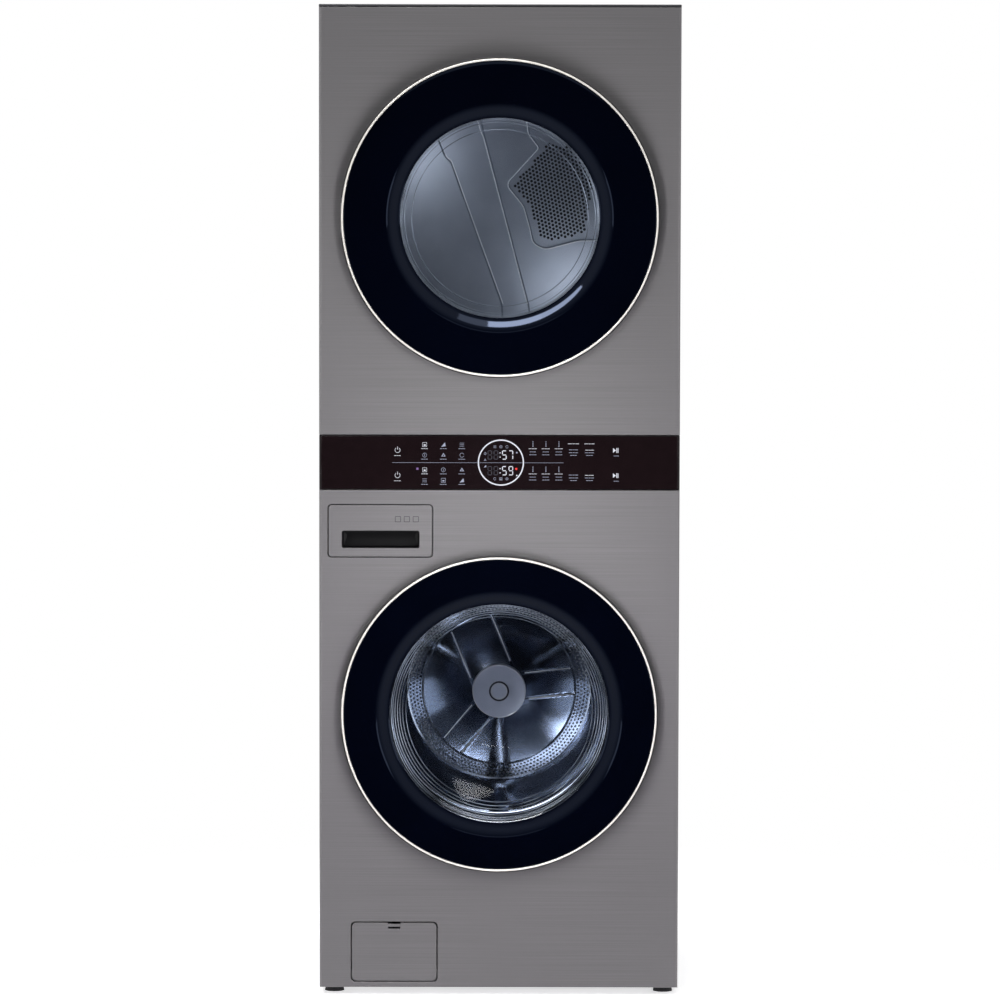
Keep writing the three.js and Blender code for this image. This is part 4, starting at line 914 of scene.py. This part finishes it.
def perforated_band(shape, at, columns, rows, share=0.34):
    """A grid of cells with a round hole in each. at(u, v) gives the place of a point of the grid;
    each row is shifted by half a cell, so the holes stand in staggered rows."""
    corners, across, along = {}, {}, {}
    for j in range(rows + 1):
        for i in range(columns):
            corners[i, j] = shape.verts.new(at(i + j / 2, j))
            across[i, j] = shape.verts.new(at(i + 0.5 + j / 2, j))
            if j < rows:
                along[i, j] = shape.verts.new(at(i + j / 2 + 0.25, j + 0.5))
    for j in range(rows):
        for i in range(columns):
            k = (i + 1) % columns
            outer = [corners[i, j], across[i, j], corners[k, j], along[k, j],
                     corners[k, j + 1], across[i, j + 1], corners[i, j + 1], along[i, j]]
            middle = (i + 0.75 + j / 2, j + 0.5)
            hole = []
            for n in range(8):
                a = math.radians(-135 + 45 * n)
                spot = at(middle[0] + share * math.cos(a), middle[1] + share * math.sin(a))
                hole.append(shape.verts.new(spot))
            for n in range(8):
                m = (n + 1) % 8
                shape.faces.new((outer[n], outer[m], hole[m], hole[n]))


drum_low, drum_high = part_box("washer_drum")
drum_steel = finish("drum_stainless", (0.44, 0.48, 0.56), metal=1.0, rough=0.13, tone=0.05,
                    scale=(30, 30, 30), bump=0.03, spread=0.05)
drum_radius = (drum_high.z - drum_low.z) / 2 - 0.0007
drum_front, drum_back = drum_low.y, drum_high.y
hub_front = drum_front + 0.270
LIP = 0.205
HOLE_PITCH = 0.0085


def wall_point(u, v, columns, start, pitch):
    a = 2 * math.pi * u / columns
    return (drum_radius * math.cos(a), start + v * pitch, WASHER_Z + drum_radius * math.sin(a))


wall_columns = round(2 * math.pi * drum_radius / HOLE_PITCH)
wall_start, wall_end = drum_front + 0.035, drum_back - 0.040
wall_rows = int((wall_end - wall_start) / (HOLE_PITCH * 0.9))
wall = bmesh.new()
perforated_band(
    wall, lambda u, v: wall_point(u, v, wall_columns, wall_start, (wall_end - wall_start) / wall_rows),
                wall_columns, wall_rows, 0.24)
piece("washer_drum_wall", wall, drum_steel, "washer_drum")


ARMS = [(math.radians(113), 0.046, 0.046), (math.radians(-129), 0.026, 0.026),
        (math.radians(4), 0.034, 0.024)]


def arm_rise(x, z):
    """How much a point of the rear wall lies on one of its three raised arms, from 0 to 1."""
    rise = 0.0
    for turn, left, right in ARMS:
        along = x * math.cos(turn) + z * math.sin(turn)
        across = -x * math.sin(turn) + z * math.cos(turn)
        width = left if across > 0 else right
        edge = (width - abs(across)) / 0.006
        if along > 0:
            t = min(1.0, max(0.0, edge))
            end = 1.0
            rise = max(rise, t * t * (3 - 2 * t) * end * end * (3 - 2 * end))
    return rise


def rear_depth(r, a):
    """The rear wall: a shallow cone with three raised arms that run out from the hub."""
    return hub_front + 0.030 + (r - 0.050) * 0.30 - 0.007 * arm_rise(r * math.cos(a), r * math.sin(a))


rear_radii = [0.050 + 0.100 * i / 64 for i in range(65)]
rear, rear_rings = polar_sheet(rear_radii, rear_depth, 0, WASHER_Z, 320)
edge_y = rear_depth(0.150, math.radians(60))
for r, y in ((0.151, edge_y - 0.0015), (0.153, edge_y - 0.002), (0.155, edge_y - 0.001)):
    loop = ring(rear, circle(0, WASHER_Z, r, 320), y, Matrix())
    band(rear, rear_rings[-1], loop)
    rear_rings.append(loop)
piece("washer_drum_petals", rear, drum_steel, "washer_drum")

RIM_ROWS = 4
rim_columns = round(2 * math.pi * 0.165 / 0.0075)
rim = bmesh.new()
perforated_band(rim, lambda u, v: (
    (0.155 + v * 0.0065) * math.cos(2 * math.pi * u / rim_columns), edge_y - 0.001 + v * 0.0022,
    WASHER_Z + (0.155 + v * 0.0065) * math.sin(2 * math.pi * u / rim_columns)), rim_columns, RIM_ROWS, 0.32)
piece("washer_drum_rear_holes", rim, drum_steel, "washer_drum")

outer_start = (0.155 + RIM_ROWS * 0.0065, edge_y - 0.001 + RIM_ROWS * 0.0022)
drum_shell = turned(
    [outer_start, (0.184, outer_start[1] - 0.001), (0.188, outer_start[1] + 0.003),
     (0.205, drum_back - 0.010),
     (0.235, drum_back - 0.004), (drum_radius - 0.012, drum_back - 0.010),
     (drum_radius - 0.003, drum_back - 0.018),
     (drum_radius, drum_back - 0.026), (drum_radius, wall_end),
     (drum_radius + 0.0006, wall_end), (drum_radius + 0.0006, drum_back - 0.022),
     (drum_radius - 0.010, drum_back - 0.006),
     (0.235, drum_back), (0.203, drum_back - 0.004), (0.186, outer_start[1] + 0.006),
     outer_start[0:1] + (outer_start[1] + 0.003,)],
    0, WASHER_Z, 192)
piece("washer_drum_rear_rim", drum_shell, drum_steel, "washer_drum")
front_shell = turned(eased([
    (drum_radius, wall_start), (drum_radius, drum_front + 0.012), (drum_radius - 0.008, drum_front + 0.0035),
    (LIP + 0.012, drum_front + 0.0030), (LIP + 0.002, drum_front + 0.0060), (LIP, drum_front + 0.0040),
    (LIP + 0.004, drum_front), (drum_radius - 0.004, drum_front), (drum_radius + 0.0006, drum_front + 0.008),
    (drum_radius + 0.0006, wall_start)], 0.004), 0, WASHER_Z, 192)
piece("washer_drum_front_rim", front_shell, drum_steel, "washer_drum")

hub = turned(eased([
    (0, hub_front + 0.0006), (0.0165, hub_front + 0.0006), (0.0175, hub_front + 0.0034),
    (0.0190, hub_front + 0.0034), (0.0200, hub_front), (0.0505, hub_front), (0.0530, hub_front + 0.0030),
    (0.0535, hub_front + 0.032), (0.0590, hub_front + 0.0345), (0.0590, hub_front + 0.037),
    (0.0500, hub_front + 0.036), (0.0495, hub_front + 0.006), (0, hub_front + 0.006)],
    0.0012), 0, WASHER_Z, 128)
hub_steel = finish("hub_satin", (0.33, 0.35, 0.41), metal=0.6,
                   rough=0.34, tone=0.05, scale=(60, 60, 60), bump=0.03)
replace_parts(piece("washer_drum_hub_cap", hub, hub_steel, "washer_drum"), "washer_drum")
# Painted highlights: near-white beads round the hub's rim and cap and along the raised arms' edges.
hub_highlight_lines = bmesh.new()
for r, y in ((0.0518, hub_front + 0.0004), (0.0148, hub_front + 0.0004)):
    bead(hub_highlight_lines, [(px, y, pz) for px, pz in circle(0, WASHER_Z, r, 96)], 0.0008, True, 8)
for turn, left, right in ARMS:
    for across in (left - 0.003, 0.003 - right):
        line = []
        for i in range(21):
            r = 0.062 + 0.086 * i / 20
            along = math.sqrt(r * r - across * across)
            px = along * math.cos(turn) - across * math.sin(turn)
            pz = along * math.sin(turn) + across * math.cos(turn)
            line.append((px, hub_front + 0.0225 + (r - 0.050) * 0.30, WASHER_Z + pz))
        bead(hub_highlight_lines, line, 0.0011, False, 8)
bmesh.ops.recalc_face_normals(hub_highlight_lines, faces=hub_highlight_lines.faces[:])
ridge_highlight_finish = finish("ridge_painted_highlight", (0.86, 0.89, 0.95), metal=0.45,
                     rough=0.18, tone=0.5, scale=(14, 14, 14))
piece("washer_drum_ridge_highlights", hub_highlight_lines, ridge_highlight_finish, "washer_drum")
# Painted shade: two black beads in the groove round the hub cap, where it lies in shadow.
cap_groove_shade = bmesh.new()
for r in (0.0176, 0.0192):
    bead(cap_groove_shade, [(px, hub_front + 0.0006, pz) for px, pz in circle(0, WASHER_Z, r, 96)], 0.0011, True, 8)
bmesh.ops.recalc_face_normals(cap_groove_shade, faces=cap_groove_shade.faces[:])
piece("washer_drum_cap_groove_shade", cap_groove_shade, door_black, "washer_drum")


def lifter(shape, angle, base, tip, base_half, tip_half, y0, y1, z):
    """One lifter: a hollow rounded ridge on the wall at an angle, lower at its two ends."""
    out = Vector((math.cos(angle), 0, math.sin(angle)))
    side = Vector((-math.sin(angle), 0, math.cos(angle)))
    sections, count = [], 18
    for i in range(count + 1):
        t = i / count
        y = y0 + (y1 - y0) * t
        rise = min(1.0, math.sin(math.pi * t) * 2.6) ** 0.5 if 0 < t < 1 else 0.0
        height = (base - tip) * max(0.02, rise)
        line = []
        for j in range(13):
            u = abs(-1 + 2 * j / 12)
            flank = min(1.0, (1 - u) / 0.6)
            half = base_half + (tip_half - base_half) * flank if u > 0.4 else tip_half * u / 0.4
            off = math.copysign(half, j - 6)
            up = 0.93 * flank if u > 0.4 else 0.93 + 0.07 * math.sqrt(1 - (u / 0.4) ** 2)
            radial = math.sqrt(max(0.0, base * base - off * off)) - height * up
            point = Vector((0, y, z)) + out * radial + side * off
            line.append(shape.verts.new(point))
        sections.append(line)
    for first, second in zip(sections, sections[1:]):
        for j in range(12):
            shape.faces.new((first[j], first[j + 1], second[j + 1], second[j]))
    return shape


washer_lifters = bmesh.new()
for i in range(3):
    lifter(washer_lifters, math.radians(-90 + 120 * i), drum_radius - 0.0005, drum_radius - 0.050,
           0.040, 0.012,
           drum_front + 0.020, drum_back - 0.035, WASHER_Z)
bmesh.ops.recalc_face_normals(washer_lifters, faces=washer_lifters.faces[:])
thicken(washer_lifters, 0.0015)
piece("washer_lifters", washer_lifters, drum_steel, "washer_drum", 60)


# ---------- Door bellows ----------
# A moulded rubber bellows joins the cabinet's opening to the neck of the tub. Its folds let the
# tub sway.
low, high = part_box("door_gasket")
bellows_rubber = finish("bellows_rubber", (0.16, 0.165, 0.17), rough=0.55, tone=0.06, scale=(160, 160, 160),
                        bump=0.10)
gasket_front, gasket_back = low.y, high.y
gasket_line = [
    (0.2225, gasket_front + 0.001), (0.2365, gasket_front + 0.0005), (0.2400, gasket_front + 0.010),
    (0.2350, gasket_front + 0.018), (0.2435, gasket_front + 0.027), (0.2380, gasket_front + 0.036),
    (0.2430, gasket_front + 0.046), (0.2300, gasket_front + 0.056), (0.2280, gasket_back - 0.012),
    (0.2280, gasket_back)]
gasket_skin = eased(gasket_line, 0.006, False, 6)
gasket_back_skin = [(r - 0.0035, y + 0.0005) for r, y in reversed(gasket_skin)]
gasket_shape = turned(gasket_skin + gasket_back_skin, 0, WASHER_Z, 160)
gasket_mesh = bpy.data.meshes.new("door_bellows")
gasket_shape.to_mesh(gasket_mesh)
gasket_shape.free()
gasket_mesh.polygons.foreach_set("use_smooth", [True] * len(gasket_mesh.polygons))
gasket_mesh.materials.append(bellows_rubber)
gasket = bpy.data.objects.new("door_bellows", gasket_mesh)
bpy.context.scene.collection.objects.link(gasket)
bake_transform(gasket)
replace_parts(gasket, "door_gasket")


# ---------- Dryer drum and bulkheads ----------
# The dryer's drum is a plain sheet cylinder with three lifters that turns on flanges of the fixed
# front and rear walls. The rear wall carries the inlet grille, the front one the throat.
drum_low, drum_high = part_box("dryer_drum")
dryer_steel = finish("dryer_drum_steel", (0.34, 0.37, 0.43), metal=0.65, rough=0.36, tone=0.05,
                     scale=(30, 30, 30), bump=0.03, spread=0.05)
dryer_radius = (drum_high.z - drum_low.z) / 2
front_y, rear_y = drum_low.y, drum_high.y
shell = turned(eased([
    (dryer_radius, front_y), (dryer_radius, front_y + 0.040), (dryer_radius - 0.003, front_y + 0.048),
    (dryer_radius, front_y + 0.056), (dryer_radius, rear_y - 0.056), (dryer_radius - 0.003, rear_y - 0.048),
    (dryer_radius, rear_y - 0.040), (dryer_radius, rear_y), (dryer_radius - 0.0015, rear_y),
    (dryer_radius - 0.0015, rear_y - 0.040), (dryer_radius - 0.0045, rear_y - 0.048),
    (dryer_radius - 0.0015, rear_y - 0.056), (dryer_radius - 0.0015, front_y + 0.056),
    (dryer_radius - 0.0045, front_y + 0.048), (dryer_radius - 0.0015, front_y + 0.040),
    (dryer_radius - 0.0015, front_y)], 0.004), 0, DRYER_Z, 192)
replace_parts(piece("dryer_drum_wall", shell, dryer_steel, "dryer_drum"), "dryer_drum")
dryer_lifters = bmesh.new()
for i in range(3):
    lifter(dryer_lifters, math.radians(-90 + 120 * i), dryer_radius - 0.002, dryer_radius - 0.066,
           0.046, 0.014,
           front_y + 0.030, rear_y - 0.030, DRYER_Z)
bmesh.ops.recalc_face_normals(dryer_lifters, faces=dryer_lifters.faces[:])
thicken(dryer_lifters, 0.0015)
piece("dryer_lifters", dryer_lifters, dryer_steel, "dryer_drum", 60)

# The rear wall's face: a raised tapering band across it, and a raised field with the inlet holes.
low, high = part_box("rear_bulkhead")
wall_y = low.y + 0.001
REAR_DISC = 0.296
GRILLE = [(0.0560, 0.2150), (0.0600, 0.1680), (0.0840, 0.1380), (0.0170, 0.0640), (0.0510, 0.0230),
          (0.0640, -0.0220), (0.0700, -0.0520), (0.0920, -0.0630), (0.1600, -0.0450), (0.2350, -0.0450),
          (0.2550, 0.0600), (0.2000, 0.1700), (0.1200, 0.2400)]
BAND = [(-0.1450, 0.2150), (-0.1100, 0.1220), (-0.0980, 0.1120), (0.0060, -0.1770), (0.0080, -0.2100),
        (0.0600, -0.2100), (0.0560, -0.1770), (-0.0330, 0.1600), (-0.0480, 0.2200)]
GRILLE_FIELD = [(0.1000, 0.1500), (0.0280, 0.0640), (0.0620, 0.0230), (0.0740, -0.0180), (0.0800, -0.0400),
                (0.0960, -0.0500), (0.1700, -0.0330), (0.1900, 0.0700), (0.1560, 0.1350)]
GRILLE_TURN = math.radians(40)
GRILLE_PITCH = 0.0079
GRILLE_HOLE = 0.0029


def inside(point, loop):
    """True if the point lies within the loop."""
    x, z = point
    hit = False
    for (ax, az), (bx, bz) in zip(loop, loop[1:] + loop[:1]):
        if (az > z) != (bz > z) and x < (bx - ax) * (z - az) / (bz - az) + ax:
            hit = not hit
    return hit


rear_shape = bmesh.new()
rear_place = Matrix.Translation((0, wall_y, DRYER_Z))
outer = ring(rear_shape, circle(0, 0, REAR_DISC, 160), 0, rear_place)
grille_line, band_line = eased(GRILLE, 0.010), eased(BAND, 0.006)
holes = []
for loop, ramp, depth in ((grille_line, 0.005, 0.005), (band_line, 0.004, -0.004)):
    rings = [ring(rear_shape, grown(loop, ramp * (1 - i / 5), ramp * (1 - i / 5)),
                  depth * (i / 5) ** 2 * (3 - 2 * i / 5), rear_place) for i in range(6)]
    for first, second in zip(rings, rings[1:]):
        band(rear_shape, first, second)
    holes.append(rings[0])
    dots = []
    if loop is grille_line:
        for j in range(-40, 60):
            for i in range(-40, 60):
                u, v = (i + (j % 2) / 2) * GRILLE_PITCH, j * GRILLE_PITCH * 0.866
                spot = (u * math.cos(GRILLE_TURN) - v * math.sin(GRILLE_TURN),
                        u * math.sin(GRILLE_TURN) + v * math.cos(GRILLE_TURN))
                if inside(spot, GRILLE_FIELD):
                    dots.append(ring(rear_shape, circle(*spot, GRILLE_HOLE, 10), depth, rear_place))
    fill(rear_shape, rings[-1], *dots)
    for dot in dots:
        deep = [rear_shape.verts.new(v.co + Vector((0, 0.0015, 0))) for v in dot]
        band(rear_shape, dot, deep)
fill(rear_shape, outer, *holes)
bmesh.ops.recalc_face_normals(rear_shape, faces=rear_shape.faces[:])
if max(rear_shape.faces, key=lambda f: f.calc_area()).normal.y > 0:
    bmesh.ops.reverse_faces(rear_shape, faces=rear_shape.faces[:])
flat_normals(piece("dryer_rear_wall_face", rear_shape, dryer_steel, "cabinet", 60))
# Painted shade: a flat black sheet behind the grille's holes, where the duct behind lies in shadow.
inlet_hole_shade_finish = finish("duct_shadow", (0.004, 0.004, 0.005), rough=0.8, tone=0.05, scale=(90, 90, 90))
hole_shade_sheet = bmesh.new()
fill(hole_shade_sheet, ring(hole_shade_sheet, grown(GRILLE_FIELD, 0.004, 0.004), 0.0075, rear_place))
piece("dryer_inlet_hole_shade", hole_shade_sheet, inlet_hole_shade_finish, "cabinet")
# Painted highlights: near-white beads along the grille field's outline and the band's two edges.
painted_highlight_bead = finish("painted_highlight_bead", (0.90, 0.92, 0.96), metal=0.2, rough=0.25, tone=0.05, scale=(60, 60, 60))
highlight_beads = bmesh.new()
bead(highlight_beads, [rear_place @ Vector((x, 0.0004, z)) for x, z in grown(grille_line, 0.004, 0.004)], 0.0011, True)
left_edge = [(-0.1110, 0.1250), (-0.1060, 0.1175), (-0.0990, 0.1130), (-0.0960, 0.1060), (0.0065, -0.1770)]
right_edge = [(-0.0480, 0.2000), (-0.0380, 0.1690), (-0.0335, 0.1600), (0.0560, -0.1770)]
for line in (left_edge, right_edge):
    bead(highlight_beads, [rear_place @ Vector((x, -0.0036, z)) for x, z in line], 0.0012, False)
bmesh.ops.recalc_face_normals(highlight_beads, faces=highlight_beads.faces[:])
piece("dryer_rear_wall_highlight_beads", highlight_beads, painted_highlight_bead, "cabinet")

for node in ("rear_bulkhead", "front_bulkhead"):
    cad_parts[node].data.materials.clear()
    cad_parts[node].data.materials.append(galvanised)


# ---------- Detergent drawer ----------
# The drawer's front is brushed steel to match the washer, with a black finger recess along its
# lower edge. Behind it slides a grey moulded tray with three compartments.
low, high = drawer_low, drawer_high
GRIP = (low.x + 0.025, low.x + 0.173, low.z + 0.016, low.z + 0.0495)
GRIP_DEPTH = 0.027
grip_loop = rounded_box(GRIP[0], GRIP[1], GRIP[2], GRIP[3], 0.004)
drawer_sheet = piece("drawer_face", pressed_sheet(
    rounded_box(low.x, high.x, low.z, high.z, 0.006), (0.0006, 0.0006, 0.0006), 0.030,
    holes=[(grip_loop, 0.0008, 0.0015)], face_y=FACE_Y), steel, "drawer")
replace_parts(flat_normals(drawer_sheet), "drawer_front")
cup = bmesh.new()
cup_levels = ((0.0, 0.0013), (0.0, GRIP_DEPTH - 0.006), (-0.002, GRIP_DEPTH - 0.002), (-0.006, GRIP_DEPTH))
cup_rings = [ring(cup, grown(grip_loop, g, g), FACE_Y + y, Matrix()) for g, y in cup_levels]
for first, second in zip(cup_rings, cup_rings[1:]):
    band(cup, first, second)
fill(cup, cup_rings[-1])
bmesh.ops.recalc_face_normals(cup, faces=cup.faces[:])
if max(cup.faces, key=lambda f: f.calc_area()).normal.y > 0:
    bmesh.ops.reverse_faces(cup, faces=cup.faces[:])
thicken(cup, 0.0015)
# This black is the grip cup's moulding, and painted shade in the rim round the drawer's gap.
grip_and_gap_shade_black = finish("grip_moulding_and_gap_shade", (0.005, 0.005, 0.0055), rough=0.45, tone=0.05,
                    scale=(400, 400, 400), bump=0.1)
piece("drawer_grip_cup", cup, grip_and_gap_shade_black, "drawer")
GAP_SHADE_WALL = 0.0012
GAP_SHADE_DEPTH = 0.0045
GAP_SHADE_SET_BACK = 0.0009


def gap_shade_liner(name, low, high, corner, front):
    """A black rim that fills half the gap round a drawer or a door, just behind the steel: painted shade, a
    dark sheet where the gap lies in shadow.
    """
    shape = bmesh.new()
    outer = rounded_box(low.x - CUT_GAP, high.x + CUT_GAP, low.z - CUT_GAP, high.z + CUT_GAP, corner)
    levels = ((-0.0001, front), (-GAP_SHADE_WALL, front), (-GAP_SHADE_WALL, front + GAP_SHADE_DEPTH),
              (-0.0001, front + GAP_SHADE_DEPTH))
    rings = [ring(shape, grown(outer, inset, inset), FACE_Y + y, Matrix()) for inset, y in levels]
    for first, second in zip(rings, rings[1:] + rings[:1]):
        band(shape, first, second)
    bmesh.ops.recalc_face_normals(shape, faces=shape.faces[:])
    piece(name, shape, grip_and_gap_shade_black, "cabinet")


gap_shade_liner("drawer_gap_shade", drawer_low, drawer_high, 0.008, GAP_SHADE_SET_BACK)
embossed = bmesh.new()
for i in range(3):
    x = -0.1930 + i * 0.0170
    loop = rounded_box(x - 0.0055, x + 0.0055, 0.9080, 0.9190, 0.001)
    rings = [ring(embossed, loop, FACE_Y + 0.0003, Matrix()), ring(embossed, loop, FACE_Y - 0.0003, Matrix())]
    inner = grown(loop, -0.0009, -0.0009)
    inner_rings = [ring(embossed, inner, FACE_Y + y, Matrix()) for y in (-0.0003, 0.0003)]
    band(embossed, rings[0], rings[1])
    fill(embossed, rings[1], inner_rings[0])
    band(embossed, inner_rings[0], inner_rings[1])
bmesh.ops.recalc_face_normals(embossed, faces=embossed.faces[:])
mark_grey = finish("printed_grey", (0.035, 0.035, 0.038), rough=0.4, tone=0.05, scale=(300, 300, 300))
piece("drawer_marks", embossed, mark_grey, "drawer")

grey_plastic = finish("grey_moulding", (0.52, 0.53, 0.54), rough=0.48, tone=0.04,
                      scale=(350, 350, 350), bump=0.12)


def dressed(node, surface, ease=0.0):
    """A CAD node that shows as it is, with its own finish and eased edges."""
    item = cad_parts[node]
    item.data.materials.clear()
    item.data.materials.append(surface)
    if ease:
        bevel = item.modifiers.new("eased", "BEVEL")
        bevel.width, bevel.segments, bevel.limit_method = ease, 2, "ANGLE"
        bevel.angle_limit = math.radians(40)
    return item


dressed("drawer_tray", grey_plastic, 0.0008)
dressed("dispenser_housing", grey_plastic)


# ---------- Service door and pump filter ----------
# A small brushed door low on the left tilts down over the pump. A notch in its top edge takes a
# fingertip, and the grey filter behind it twists out.
low, high = service_low, service_high
NOTCH = (-0.212, -0.188, 0.0115)
notch_floor = high.z - NOTCH[2]
outline = rounded_box(low.x, high.x, low.z, high.z, 0.009)
notched = []
for x, z in outline:
    notched.append((x, z))
    if abs(z - high.z) < 1e-6 and len([p for p in notched if abs(p[1] - high.z) < 1e-6]) == 1:
        notched += [(NOTCH[1], high.z), (NOTCH[1] - 0.0005, notch_floor + 0.001),
                    (NOTCH[1] - 0.0015, notch_floor), (NOTCH[0] + 0.0015, notch_floor),
                    (NOTCH[0] + 0.0005, notch_floor + 0.001), (NOTCH[0], high.z)]
service = piece("service_door_sheet", pressed_sheet(
    notched, (0.0006, 0.0006, 0.0008), 0.0027, face_y=FACE_Y), steel, "service_door")
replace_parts(flat_normals(service), "service_door")
tab = block(NOTCH[0] - 0.0020, NOTCH[1] + 0.0020, FACE_Y + 0.0010, FACE_Y + 0.0026, high.z - 0.0080,
            high.z - 0.0022, None, 0.0006)
piece("service_door_tab", tab, steel, "service_door")
dressed("pump_filter", grey_plastic, 0.0012)
dressed("drain_pump", door_black)


# ---------- Feet ----------
# Four levelling feet of moulded rubber on threaded steel stems carry the stack.
foot_rubber = finish("foot_rubber", (0.022, 0.022, 0.024), rough=0.7, tone=0.08,
                     scale=(200, 200, 200), bump=0.2)
for node in ("foot_front_left", "foot_front_right", "foot_rear_left", "foot_rear_right"):
    dressed(node, foot_rubber)


# ---------- Parts inside the cabinet ----------
# Tub, motors, dampers, blower, ducts and the rest, in their own metals and mouldings.
cast = finish("cast_aluminium", (0.48, 0.49, 0.50), metal=0.9, rough=0.5, tone=0.08,
              scale=(60, 60, 60), bump=0.15)
turned_steel = finish("turned_steel", (0.55, 0.56, 0.57), metal=1.0, rough=0.28, tone=0.05,
                      scale=(60, 60, 60))
belt_rubber = finish("belt_rubber", (0.02, 0.02, 0.02), rough=0.7, tone=0.08, scale=(200, 200, 200), bump=0.2)
SPRING_TURNS = 7
for node in ("suspension_spring_left", "suspension_spring_right"):
    low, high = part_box(node)
    middle_x, middle_y = (low.x + high.x) / 2, (low.y + high.y) / 2
    coil_radius = (high.x - low.x) / 2 - 0.002
    hook = 0.020
    line = [(middle_x, middle_y, low.z + 0.002), (middle_x, middle_y, low.z + hook * 0.6)]
    for i in range(SPRING_TURNS * 20 + 1):
        a = 2 * math.pi * i / 20
        z = low.z + hook + (high.z - low.z - 2 * hook) * i / (SPRING_TURNS * 20)
        line.append((middle_x + coil_radius * math.cos(a), middle_y + coil_radius * math.sin(a), z))
    line += [(middle_x, middle_y, high.z - hook * 0.6), (middle_x, middle_y, high.z - 0.002)]
    coil = bmesh.new()
    bead(coil, line, 0.0019, False, 8)
    bmesh.ops.recalc_face_normals(coil, faces=coil.faces[:])
    coil_mesh = bpy.data.meshes.new(node + "_coil")
    coil.to_mesh(coil_mesh)
    coil.free()
    coil_mesh.polygons.foreach_set("use_smooth", [True] * len(coil_mesh.polygons))
    coil_mesh.materials.append(turned_steel)
    spring = bpy.data.objects.new(node + "_coil", coil_mesh)
    bpy.context.scene.collection.objects.link(spring)
    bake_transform(spring)
    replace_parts(spring, node)
INNER = {
    grey_plastic: ["tub_front", "tub_rear", "inlet_valve", "blower_housing", "lint_filter"],
    door_black: ["control_housing", "washer_door_lock", "damper_left", "damper_right", "support_roller_left",
                 "support_roller_right", "idler_pulley", "blower_wheel"],
    galvanised: ["base_frame", "dryer_deck", "terminal_cover", "exhaust_duct", "heater_housing"],
    cast: ["drum_spider", "dryer_motor", "motor_stator"],
    turned_steel: ["motor_shaft", "damper_rod_left", "damper_rod_right", "motor_rotor"],
    belt_rubber: ["drive_belt"],
}
for surface, nodes in INNER.items():
    for node in nodes:
        dressed(node, surface)
